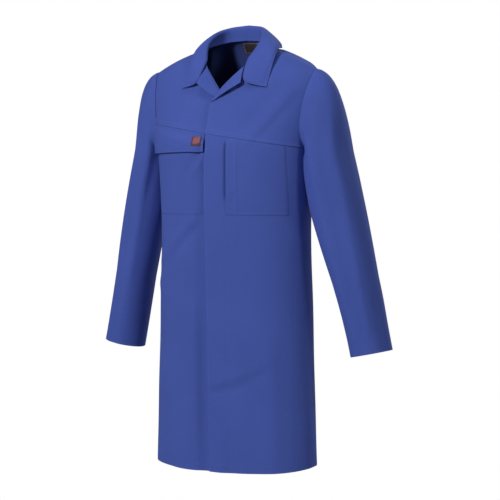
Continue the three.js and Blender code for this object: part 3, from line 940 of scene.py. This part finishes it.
def yoke_surface(side, edge_x):
    """A yoke in the left side's sense, from the front edge to the armhole."""
    end = yoke_end(side)
    tip = break_line(1)
    start_x = side * edge_x
    start_z = yoke_seam(side * start_x)
    seam_start = form(angle_at(start_x, start_z), start_z)
    placket, lapel = YOKE_ROWS

    def front_edge(v):
        v = np.asarray(v, float)
        low = lerp(seam_start, tip, np.clip(v / placket, None, 1)[..., None])
        middle = break_line(1 - (v - placket) / (lapel - placket))
        high = neck_line(lerp(1, SHOULDER_POINT, (v - lapel) / (1 - lapel)))
        inner = np.where((v < lapel)[..., None], middle, high)
        return np.where((v < placket)[..., None], low, inner)

    def seam(u):
        angle = lerp(angle_at(start_x, SEAM_HEIGHT), armhole_angles(end)[0], u)
        return form(angle, yoke_seam(side * form(angle, SEAM_HEIGHT)[..., 0]))

    return coons(seam, shoulder_seam, front_edge, lambda v: armhole(lerp(end, 0, v)))


left_yoke = yoke_surface(1, PLACKET_EDGE)
right_yoke = yoke_surface(-1, UNDER_EDGE)


def underlap(x):
    """How far the right front sinks as it goes under the left one."""
    return -UNDER_DEPTH * smooth(x, 3 * PLACKET_EDGE, PLACKET_EDGE - 4)


def right_rise(extra=0.0):
    return lambda points, away: underlap(points[..., 0]) + extra


SEAM_STEP = 1.3  # the yoke's turned edge stands over the front's edge


def lapped(base):
    """The rise of a yoke whose lower edge laps over the front."""
    return lambda points, away: base(points, away) + SEAM_STEP * smooth(away["bottom"], 12, 5)


def add_yokes():
    stitches = [("bottom", TOPSTITCH), ("bottom", SECOND_STITCH), ("top", TOPSTITCH)]
    for side, surface, rise in (("left", left_yoke, sink(0)), ("right", mirrored(right_yoke), right_rise())):
        shell = Shell(draped(surface), 6, lapped(rise), stitches=stitches)
        cloth_piece(f"front_yoke_{side}", shell, OUTSIDE)


POCKET_DIP = 5.0  # how far the front sinks beside the left pocket's open edge
DIP_WIDTH = 4.5


def opening_share(z):
    """1 along the left chest pocket's opening, 0 above and below it."""
    below_top = smooth(z, OPENING_TOP + 4, OPENING_TOP - 8)
    return below_top * smooth(z, OPENING_BOTTOM - 16, OPENING_BOTTOM + 10)


def beside_opening(points, away):
    x, z = points[..., 0], points[..., 2]
    dip = np.exp(-(((x - OPENING_EDGE + 2) / DIP_WIDTH) ** 2))
    return -POCKET_DIP * dip * opening_share(z)


def add_fronts():
    left = on_form(at_x(FLY_SEAM), at_angle(SIDE_ANGLE), hem_line, front_top)
    right = on_form(at_angle(-SIDE_ANGLE), at_x(UNDER_EDGE), hem_line, front_top)
    for side, surface, rise, inner, flush, follow in (
        ("left", left, beside_opening, "left", ("left",), follow_front),
        ("right", right, right_rise(), "right", (), stay),
    ):
        shell = Shell(
            draped(surface), rise=rise, flush=flush, stitches=[("bottom", HEM_STITCH), (inner, TOPSTITCH)]
        )
        nodes = [f"side_panel_{side}"]
        cloth_piece(
            f"front_panel_{side}", shell, OUTSIDE, follow, stands_for=nodes
        )


# ---- Closure down the front ----
STRIP_INSET = 6


def add_closure():
    def inner_hem(angle):
        return hem_line(angle) + STRIP_INSET

    def sunk(points, away):
        return beside_opening(points, away) - LAYER

    cover = on_form(at_x(PLACKET_EDGE), at_x(FLY_SEAM), hem_line, front_top)
    stitches = [("left", TOPSTITCH), ("bottom", HEM_STITCH)]
    shell = Shell(draped(cover), 6, beside_opening, flush=("right",), stitches=stitches)
    cloth_piece("fly_cover", shell, DOUBLE, follow_front)
    for node, from_x, to_x, follow, rise, side in (
        ("fly_strip", PLACKET_EDGE + STRIP_INSET, FLY_SEAM, follow_front, sunk, "left"),
        ("facing_left", FLY_SEAM, FACING_EDGE, follow_front, sunk, "left"),
        ("facing_right", STRIP_INSET - FACING_EDGE, UNDER_EDGE, stay, right_rise(-LAYER), "right"),
    ):
        surface = on_form(at_x(from_x), at_x(to_x), inner_hem, front_top)
        cloth_piece(node, Shell(draped(surface), 10, rise), FACED, follow)
    for index in range(SNAP_COUNT):
        add_snap(index + 1, SNAP_TOP - index * SNAP_PITCH)


SNAP_SIDES = 36
# Profiles of the snaps: radius and height over the CAD solid's lower face.
SOCKET = (
    ((0, 2.0), (2.4, 2.0), (3.2, 1.7), (5.3, 1.6), (5.8, 1.3), (6.0, 0.8), (5.9, 0.2), (5.6, 0.0))
    + ((3.9, 0.0), (3.4, 0.3), (3.4, 1.2), (0, 1.4))
)
STUD = (
    ((0, -0.8), (5.6, -0.8), (5.95, -0.6), (6.0, -0.3), (5.7, 0.0), (3.0, 0.0), (2.1, 0.2), (2.0, 0.6))
    + ((2.3, 0.9), (2.1, 1.15), (1.4, 1.2), (0, 1.2))
)


def turned(name, profile, place, outward):
    """A closed solid of revolution about outward, its profile from axis to axis."""
    profile = np.array(profile, float)
    angles = np.arange(SNAP_SIDES) * 2 * math.pi / SNAP_SIDES
    side = unit(np.cross(outward, UPWARD))
    other = np.cross(outward, side)
    ring = np.cos(angles)[:, None] * side + np.sin(angles)[:, None] * other
    middle = profile[1:-1]
    points = place + middle[:, None, :1] * ring[None] + middle[:, None, 1:] * outward
    ends = place + profile[[0, -1], 1:] * outward
    index = np.arange(len(middle) * SNAP_SIDES).reshape(len(middle), SNAP_SIDES)
    after = np.roll(index, -1, axis=1)
    quads = np.stack([index[:-1], index[1:], after[1:], after[:-1]], axis=-1).reshape(-1, 4)
    first, last = index.size, index.size + 1
    fan = np.stack([np.full(SNAP_SIDES, first), index[0], after[0]], axis=-1)
    close = np.stack([np.full(SNAP_SIDES, last), after[-1], index[-1]], axis=-1)
    polygons = [quads, fan, close]
    if profile[-1, 1] > profile[0, 1]:
        polygons = [faces[:, ::-1] for faces in polygons]
    slots = np.zeros(sum(len(faces) for faces in polygons))
    return new_mesh(name, np.concatenate([points.reshape(-1, 3), ends]), polygons, slots, [metal])


SNAP_SEAT = 2.3  # top of a socket under the fly cover's face
SOCKET_DEPTH = 2.0
SNAP_GAP = 0.3


def add_snap(number, z):
    """One hidden snap: the socket on the fly's strip and the stud on the right front."""
    surface = draped(lambda u, v: form(angle_at(SNAP_X + u, z), z + v))
    place = surface(0.0, 0.0)
    outward = level_normal(place)
    base = place - outward * (SNAP_SEAT + SOCKET_DEPTH)
    socket = turned(f"snap_socket_{number}_metal", SOCKET, base, outward)
    finish_piece(socket, [f"snap_socket_{number}"], follow_front)
    stud = turned(f"snap_stud_{number}_metal", STUD, base - outward * SNAP_GAP, outward)
    finish_piece(stud, [f"snap_stud_{number}"])


# ---- Facings of the yokes, and the lapels ----
FACING_SHARE = 0.34  # of the yoke's width
LAPEL_THICK = 1.8
LAPEL_GAP = 1.5
LAPEL_START = 0.05  # share of the break line at which the lapel starts, and its end
LAPEL_END = 0.97
LAPEL_CUT = 0.16  # share of the way to its corner at which the lapel's lower end is cut
LAPEL_BELLY = 3


def add_upper_facings():
    def strip(yoke):
        return lambda u, v: yoke(np.asarray(u, float) * FACING_SHARE, lerp(0.01, 0.97, v))

    for side, surface, rise in (
        ("left", strip(left_yoke), sink(LAYER + 0.8)),
        ("right", mirrored(strip(right_yoke)), right_rise(-LAYER - 1.6)),
    ):
        shell = Shell(draped(surface), 9, rise)
        cloth_piece(f"facing_{side}_upper", shell, FACED)


@elementwise
def lapel(u, v):
    """The turned-over part of the left front, from the break line to its free edge."""
    fold = break_line(lerp(LAPEL_END, LAPEL_START, v))
    free = lerp(break_line(LAPEL_END), LAPEL_CORNER, lerp(LAPEL_CUT, 1, v)[..., None])
    free[..., 1] -= LAPEL_BELLY * np.sin(math.pi * v)
    place = lerp(fold, free, u[..., None])
    place[..., 1] -= LAPEL_GAP + LAPEL_BELLY * np.sin(math.pi * u) * v
    return place


def add_lapels():
    for side, surface, rise, free in (
        ("left", lapel, sink(0), "right"),
        ("right", mirrored(lapel), right_rise(), "left"),
    ):
        stitches = [(free, TOPSTITCH), ("top", TOPSTITCH)]
        shell = Shell(surface, 4, rise, LAPEL_THICK, stitches=stitches)
        cloth_piece(f"lapel_{side}", shell, DOUBLE)


# ---- Collar ----
STAND_SHARE = 0.36  # of the collar's height: neck seam to the roll line
FOLD_REACH = 5.5  # how far the cloth runs level on each side of the roll line
COLLAR_SEAT = 1.8  # the stand sits on the neck edges of the yokes and the back
COLLAR_DEPTH = 3.4  # the top collar's distance from the under collar
EDGE_DEPTH = 0.95  # the same at the edge
COLLAR_ROUND = 9  # over which the two come together at the edge
COLLAR_STITCH = 6
WEB_DEPTH = 1.9  # the interlining inside the under collar
COLLAR_SHIFT = 11  # the fall lies further to the wearer's left, most of all on the shoulders
TIP_SHIFT = 6
NOTCH = np.array([62.0, -88.0, -82.0])  # where the collar's front edge leaves the lapel
GORGE_START = 0.84  # share of the collar's half length from which its front edge bends to the notch


def collar_half(along, up):
    """Left half of the collar: along = 0 at the middle of the back, up = 0 at the neck seam."""
    lift = points_of(0 * along, -COLLAR_SEAT * along, COLLAR_SEAT)
    neck = neck_line(along) + lift
    roll = roll_line(along) + lift
    edge = collar_edge(along)
    out = unit((edge - roll) * (1 - UPWARD))
    stand = roll[..., 2:] - neck[..., 2:]
    fall = np.linalg.norm(edge - roll, axis=-1, keepdims=True)
    share = along[..., None]
    rise = neck + UPWARD * stand * 0.55
    inward = roll - out * np.minimum(FOLD_REACH, stand * 0.5)
    inside = bezier(neck, rise, inward, roll, np.minimum(up / STAND_SHARE, 1))
    outward = roll + out * lerp(1.6 * FOLD_REACH, fall / 3, share) + UPWARD * 4 * share
    drop = lerp(edge, roll, 0.3 * share) + UPWARD * lerp(fall * 0.4, 4, share)
    gorge = smooth(share, GORGE_START, 1)
    through_notch = (8 * NOTCH - roll - edge) / 6
    outward = lerp(outward, through_notch, gorge)
    drop = lerp(drop, through_notch, gorge)
    down = np.maximum((up - STAND_SHARE) / (1 - STAND_SHARE), 0)
    outside = bezier(roll, outward, drop, edge, down)
    return np.where((up < STAND_SHARE)[..., None], inside, outside)


@elementwise
def collar(u, v):
    along = 1 - 2 * u
    half = collar_half(np.clip(np.abs(along), 0, 1), v)
    points = np.where((along > 0)[..., None], half, mirror(half))
    fall = smooth(v, STAND_SHARE, 1) * smooth(np.abs(along), 0.15, 0.5)
    points[..., 0] += fall * lerp(COLLAR_SHIFT, TIP_SHIFT, smooth(np.abs(along), 0.7, 1))
    return points


def top_collar_rise(points, away):
    """The top collar lies off the under collar and comes to it at the three free edges."""
    near = np.minimum(np.minimum(away["left"], away["right"]), away["top"])
    return lerp(EDGE_DEPTH, COLLAR_DEPTH, smooth(near, 0, COLLAR_ROUND)) - CLOTH


def add_collar():
    def inset(u, v):
        return collar(lerp(0.02, 0.98, u), lerp(0.02, 0.93, v))

    edges = [(edge, COLLAR_STITCH) for edge in ("left", "right", "top")]
    top = Shell(turned_over(collar), 5, top_collar_rise, stitches=edges)
    for node, shell, cloth, rests_on in (
        ("under_collar", Shell(collar, 5), DOUBLE, "front_yoke_left"),
        ("collar_interlining", Shell(inset, 8, sink(WEB_DEPTH), thick=0.4), FUSED, "under_collar"),
        ("top_collar", top, DOUBLE, "under_collar"),
    ):
        cloth_piece(node, shell, cloth)


def face_middles(piece):
    """The middles of a piece's faces, in millimetres."""
    middles = np.zeros(len(piece.data.polygons) * 3, np.float32)
    piece.data.polygons.foreach_get("center", middles)
    return middles.reshape(-1, 3) / MM


def add_border(piece, material, chosen):
    """Gives the chosen faces of a piece one more material."""
    slots = np.zeros(len(piece.data.polygons), np.int32)
    piece.data.polygons.foreach_get("material_index", slots)
    slots[chosen] = len(piece.data.materials)
    piece.data.materials.append(material)
    piece.data.polygons.foreach_set("material_index", slots)


def add_label():
    """The neck label, a plain dark ribbon with a pale woven border."""

    @elementwise
    def surface(u, v):
        x = LABEL_MIDDLE + lerp(LABEL_HALF, -LABEL_HALF, u)
        z = lerp(LABEL_TOP - LABEL_HEIGHT, LABEL_TOP, v)
        half, _, back, square = section_at(z)
        depth = back * (1 - np.abs(x / half) ** square) ** (1 / square)
        return points_of(x, depth - 10, z)

    shell = Shell(surface, 6, thick=0.6)
    materials = (black, black, blue_thread)
    piece = add_piece("neck_label_ribbon", shell, materials)
    x, _, z = face_middles(piece).T
    ends = LABEL_HALF - np.abs(x - LABEL_MIDDLE)
    away = np.minimum(ends, np.minimum(LABEL_TOP - z, z - LABEL_TOP + LABEL_HEIGHT))
    add_border(piece, border, (away > 0.9) & (away < 2.6))
    finish_piece(piece, ["neck_label"])


# ---- Pockets ----
POCKET_MOUTH = 16  # the right pocket's open edge below the yoke seam
SEWN_DOWN = 5  # a patch's edge comes down to the cloth over this distance
OPENING_LIFT = 1.6
SEWN_HEIGHT = CLOTH + 0.15  # a patch's sewn edge over the front, and its middle
PATCH_HEIGHT = CLOTH + 0.35
WELT_HEIGHT = CLOTH + 0.3
WELT_THICK = 0.4
WELT_STITCHES = (TOPSTITCH, 10.0, 18.0)


def patch_rise(base, height, sewn, lift=None):
    """The rise of a patch that lies on the front and is sewn down along some edges."""

    def rise(points, away):
        near = np.min([away[edge] for edge in sewn], axis=0)
        over = lerp(SEWN_HEIGHT, height, smooth(near, 0, SEWN_DOWN))
        extra = lift(points, away) if lift else 0
        return base(points, away) + over + extra

    return rise


def opening_lift(points, away):
    return OPENING_LIFT * opening_share(points[..., 2]) * smooth(away["left"], 14, 0)


def add_pockets():
    def under(gap):
        return lambda angle: front_top(angle) - gap

    def bottom(raise_by):
        return lambda angle: POCKET_BOTTOM + raise_by + 0 * np.asarray(angle, float)

    right = on_form(at_x(-POCKET_OUTER), at_x(-POCKET_INNER), bottom(0), under(POCKET_MOUTH))
    left = on_form(at_x(OPENING_EDGE), at_x(POCKET_OUTER), bottom(0), under(1))
    welt = on_form(at_x(OPENING_EDGE), at_x(OPENING_EDGE + WELT_WIDTH), bottom(4), under(3))
    sides = [("left", TOPSTITCH), ("right", TOPSTITCH), ("bottom", TOPSTITCH), ("bottom", SECOND_STITCH)]
    rise = patch_rise(right_rise(), LAYER, ("left", "right", "bottom"))
    shell = Shell(draped(right), 6, rise, stitches=[*sides, ("top", 6.0)])
    cloth_piece("chest_pocket_right", shell, OUTSIDE)
    closed = ("right", "bottom", "top")
    rise = patch_rise(sink(0), PATCH_HEIGHT, closed, opening_lift)
    shell = Shell(draped(left), 6, rise, stitches=sides)
    cloth_piece("chest_pocket_left", shell, OUTSIDE, follow_front)
    rise = patch_rise(sink(-WELT_HEIGHT), CLOTH + 0.25, closed, opening_lift)
    shell = Shell(draped(welt), 4, rise, WELT_THICK, stitches=[("left", inset) for inset in WELT_STITCHES])
    cloth_piece("pocket_welt_left", shell, OUTSIDE, follow_front)
    add_flap()
    add_side_pocket_bags()


FLAP_THICK = 1.6
LINING_LEVEL = 3.2  # the flap's two layers over the front, away from the seam
FLAP_LEVEL = 4.4
FLAP_SPRING = 3.0  # the flap's lower edge stands off the pocket
SPRING_REACH = (2, 26)  # over this distance below the seam
FLAP_STITCH = 2.4
FLAP_BOTTOM = yoke_seam(-FLAP_INNER) - FLAP_DROP
BAG_DEPTH = 3.0


def flap_level(below, level):
    """Height of the flap over the front at a distance below its seam."""
    spring = smooth(below, *SPRING_REACH)
    return lerp(CLOTH, level, spring) + FLAP_SPRING * spring**2


def front_patch(x, z):
    return form(angle_at(x, z), z)


def add_flap():
    def flap(inset):
        def surface(u, v):
            x = lerp(-FLAP_OUTER + inset, -FLAP_INNER - inset, u)
            low = FLAP_BOTTOM + 0.02 * (x + FLAP_INNER)
            return front_patch(x, lerp(low + inset, yoke_seam(x) - 1, v))

        return surface

    def off_pocket(level):
        return lambda points, away: underlap(points[..., 0]) + flap_level(away["top"], level)

    shell = Shell(draped(flap(2)), 5, off_pocket(LINING_LEVEL))
    cloth_piece("flap_lining", shell, FACED, follow_flap)
    stitches = [(edge, FLAP_STITCH) for edge in ("left", "right", "bottom")] + [("top", SECOND_STITCH)]
    shell = Shell(draped(flap(0)), 5, off_pocket(FLAP_LEVEL), FLAP_THICK, stitches=stitches)
    cloth_piece("flap_outer", shell, DOUBLE, follow_flap)
    add_tab()


def add_tab():
    """The plain red tab sewn on the flap, with a darker ring round its edge that is painted shadow."""
    middle_x = -TAB_INNER - TAB_SIZE / 2
    middle_z = FLAP_BOTTOM + TAB_RAISE + TAB_SIZE / 2

    def tab(u, v):
        return front_patch(lerp(-TAB_INNER - TAB_SIZE, -TAB_INNER, u), FLAP_BOTTOM + TAB_RAISE + v * TAB_SIZE)

    def on_flap(points, away):
        below = yoke_seam(middle_x) - points[..., 2]
        return underlap(points[..., 0]) + flap_level(below, FLAP_LEVEL) + FLAP_THICK - 0.1

    stitches = [(edge, FLAP_STITCH) for edge in ("left", "right", "bottom", "top")]
    shell = Shell(draped(tab), 4, on_flap, thick=0.9, stitches=stitches)
    piece = add_piece("flap_tab_ribbon", shell, (red, red, red_thread))
    x, _, z = face_middles(piece).T
    # A darker ring of faces round the tab's edge: painted shadow, widest along the bottom.
    away = TAB_SIZE / 2 - np.maximum(np.abs(x - middle_x), np.abs(z - middle_z - TAB_SHADOW_RAISE))
    add_border(piece, red_painted_shadow, away < TAB_SHADOW_WIDTH)
    finish_piece(piece, ["flap_tab"], follow_flap)


def add_side_pocket_bags():
    def bag(u, v):
        z = lerp(SIDE_POCKET_TOP - SIDE_POCKET_HEIGHT, SIDE_POCKET_TOP, v)
        return form(lerp(angle_at(SIDE_POCKET_INNER, z), SIDE_ANGLE - 0.03, u), z)

    stitches = [(edge, TOPSTITCH) for edge in ("left", "right", "bottom")]
    for side, surface, follow in (("left", bag, follow_front), ("right", mirrored(bag), stay)):
        shell = Shell(draped(surface), 9, sink(BAG_DEPTH), thick=1.6, stitches=stitches)
        cloth_piece(f"side_pocket_bag_{side}", shell, FACED, follow)


# ---- Sleeves ----
HEAD_LEVEL = 24
HEAD_ACROSS = 43
HEAD_DEPTH = 64
HEAD_SHARE = 0.3  # of the sleeve's length: armhole to the tube's first ring
SLEEVE_MIDDLE_Y = 16
SLEEVE_FILL = 4
TUBE_START = (HEAD_ACROSS + 4, 11 - HEAD_LEVEL)  # the tube's first ring, out from the underarm and up
# Of each sleeve: how far its slack inside the arm hangs towards the body, and how much closer it is.
SLEEVE_HANG = {"left": (26, 0), "right": (2, 12)}
SLACK_TURN = 0.42  # where round the sleeve it hangs furthest
SLACK_WAY = np.array([-0.891, -0.454, 0.0])
SLACK_HEIGHT = 0.1  # share of the sleeve's length below which the slack dwindles to the cuff
SLEEVE_AXIS = np.array([math.sin(SLEEVE_TILT), 0, -math.cos(SLEEVE_TILT)])
SLEEVE_SEAM = 0.3  # the two seams, as turns from the outside
SEAM_RAISE = 1.2
HEAD_WAY = np.array([0.98, 0, -0.2])  # in which the sleeve leaves the armhole
HEAD_FULLNESS = 22


def tube_point(turn, down, slack_size):
    """The left sleeve's straight part: turn 0 outside, a quarter in front; down 0 to 1."""
    outward = np.array([math.cos(SLEEVE_TILT), 0, math.sin(SLEEVE_TILT)])
    underarm = armhole(0.5)
    start = np.array([underarm[0] + TUBE_START[0], SLEEVE_MIDDLE_Y, underarm[2] + TUBE_START[1]])
    fill = np.sin(math.pi * np.clip(down * 1.6, 0, 1)) * SLEEVE_FILL
    across = lerp(HEAD_ACROSS, CUFF_HALF, down) + fill
    depth = lerp(HEAD_DEPTH, CUFF_HALF, down)
    around = turn * 2 * math.pi
    place = start + SLEEVE_AXIS * (down * SLEEVE_LENGTH)[..., None]
    place = place + outward * (across * np.cos(around))[..., None]
    facing = np.clip(np.cos(around - SLACK_TURN * 2 * math.pi), 0, 1) ** 1.5
    slack = slack_size * facing * smooth(down, -0.35, SLACK_HEIGHT) * (1 - smooth(down, SLACK_HEIGHT, 1))
    place = place + SLACK_WAY * slack[..., None]
    place[..., 1] += SLEEVE_SWING * down - depth * np.sin(around)
    return place


def head_point(turn, down, slack_size):
    """The sleeve head: down = 0 on the armhole, 1 on the tube's first ring."""
    angle, z = armhole_angles(turn)
    on_armhole = form(angle, z)
    start = on_armhole + level_normal(on_armhole) * SEAM_RAISE
    stop = tube_point(turn, 0 * down, slack_size)
    reach = np.linalg.norm(stop - start, axis=-1, keepdims=True)
    leave = HEAD_WAY * (reach * 0.8 + HEAD_FULLNESS)
    arrive = SLEEVE_AXIS * reach * 0.9
    t = down[..., None]
    place = start * (2 * t**3 - 3 * t**2 + 1) + leave * (t**3 - 2 * t**2 + t)
    return place + stop * (3 * t**2 - 2 * t**3) + arrive * (t**3 - t**2)


def sleeve_surface(first, last, slack_size, closer):
    """Part of the left sleeve between two turns, with its folds, hung closer to the body."""

    def plain(turn, down):
        head = head_point(turn, np.clip(down / HEAD_SHARE, 0, 1), slack_size)
        tube = tube_point(turn, np.clip((down - HEAD_SHARE) / (1 - HEAD_SHARE), 0, None), slack_size)
        place = np.where((down < HEAD_SHARE)[..., None], head, tube)
        place[..., 0] -= closer * smooth(down, 0.0, 0.3)
        return place

    @elementwise
    def surface(u, v):
        turn = lerp(first, last, u)
        down = 1 - v
        step = 0.002
        around = plain(turn - step, down) - plain(turn + step, down)
        along = plain(turn, down - step) - plain(turn, down + step)
        out = unit(np.cross(around, along))
        return plain(turn, down) + out * sleeve_folds(turn, down)[..., None]

    return surface


def add_sleeves():
    stitches = [("bottom", HEM_STITCH), ("top", TOPSTITCH)]
    for part, first, last in (("top", SLEEVE_SEAM, -SLEEVE_SEAM), ("under", 1 - SLEEVE_SEAM, SLEEVE_SEAM)):
        for side, sign in (("left", 1), ("right", -1)):
            surface = sleeve_surface(first, last, *SLEEVE_HANG[side])
            shell = Shell(surface if sign > 0 else mirrored(surface), 7, stitches=stitches)
            follow = partial(follow_sleeve, side=sign)
            cloth_piece(f"sleeve_{side}_{part}", shell, OUTSIDE, follow)


# ---- Floor, light and camera ----
FLOOR_Z = -1.35
FLOOR_RADIUS = 30.0
WHITE = (1, 1, 1, 1)
WORLD_LIGHT = 0.05
CAMERA_AZIMUTH = math.radians(27)
CAMERA_DISTANCE = 4.5
CAMERA_HEIGHT = -0.263
CAMERA_DOWN = math.radians(2.754)
CAMERA_PAN = math.radians(0.406)
CAMERA_LENS = 136.2


def show_camera(tree, seen, other, out):
    """Shows one shader to the camera and another to all other rays."""
    rays = tree.nodes.new("ShaderNodeLightPath")
    pick = tree.nodes.new("ShaderNodeMixShader")
    for index, socket in enumerate((rays.outputs["Is Camera Ray"], other.outputs[0], seen.outputs[0])):
        tree.links.new(socket, pick.inputs[index])
    tree.links.new(pick.outputs[0], out.inputs["Surface"])


def add_floor():
    bpy.ops.mesh.primitive_circle_add(vertices=96, radius=FLOOR_RADIUS, fill_type="NGON")
    floor = bpy.context.object
    floor.name = "floor"
    floor.location.z = FLOOR_Z
    material, tree, shader = new_material("pale_floor")
    set_node(tree, shader, Base_Color=(0.6, 0.6, 0.6, 1), Roughness=0.9)
    seen = add_node(tree, "ShaderNodeEmission", Color=WHITE, Strength=1.0)
    show_camera(tree, seen, shader, tree.nodes["Material Output"])
    floor.data.materials.append(material)


def add_world():
    """A white backdrop whose light on the object is much weaker than what the camera sees."""
    world = bpy.data.worlds.new("studio")
    bpy.context.scene.world = world
    world.use_nodes = True
    tree = world.node_tree
    tree.nodes.clear()
    light = add_node(tree, "ShaderNodeBackground", Color=WHITE, Strength=WORLD_LIGHT)
    seen = add_node(tree, "ShaderNodeBackground", Color=WHITE, Strength=1.0)
    show_camera(tree, seen, light, add_node(tree, "ShaderNodeOutputWorld"))


# Name, place, power in watts and size in metres of each lamp. All of them face the chest.
LAMPS = (
    ("key", (-1.3, -4.0, 1.9), 152.0, 0.8),
    ("side", (3.3, -0.6, 2.4), 42.0, 0.8),
    ("top", (0.2, -0.4, 3.4), 16.0, 2.0),
    ("back", (1.0, 3.8, 1.6), 60.0, 2.2),
)
LAMP_AIM = Vector((0, 0, -0.4))


def add_lamps():
    for name, place, watts, size in LAMPS:
        data = bpy.data.lights.new(name, "AREA")
        data.shape = "DISK"
        data.energy = watts
        data.size = size
        lamp = bpy.data.objects.new(name, data)
        lamp.location = place
        lamp.rotation_euler = (LAMP_AIM - Vector(place)).to_track_quat("-Z", "Y").to_euler()
        bpy.context.scene.collection.objects.link(lamp)


def add_camera():
    data = bpy.data.cameras.new("camera")
    data.lens = CAMERA_LENS
    data.clip_start = 0.1
    data.clip_end = 200.0
    camera = bpy.data.objects.new("camera", data)
    sin, cos = math.sin(CAMERA_AZIMUTH), math.cos(CAMERA_AZIMUTH)
    camera.location = (CAMERA_DISTANCE * sin, -CAMERA_DISTANCE * cos, CAMERA_HEIGHT)
    forward, right = Vector((-sin, cos, 0)), Vector((cos, sin, 0))
    ahead = forward * math.cos(CAMERA_PAN) + right * math.sin(CAMERA_PAN)
    look = ahead * math.cos(CAMERA_DOWN) - Vector((0, 0, math.sin(CAMERA_DOWN)))
    camera.rotation_euler = look.to_track_quat("-Z", "Y").to_euler()
    bpy.context.scene.collection.objects.link(camera)
    bpy.context.scene.camera = camera


add_floor()
add_world()
add_lamps()
add_camera()
bpy.context.scene.view_settings.view_transform = "Standard"

add_backs()
add_yokes()
add_fronts()
add_closure()
add_upper_facings()
add_lapels()
add_collar()
add_label()
add_pockets()
add_sleeves()
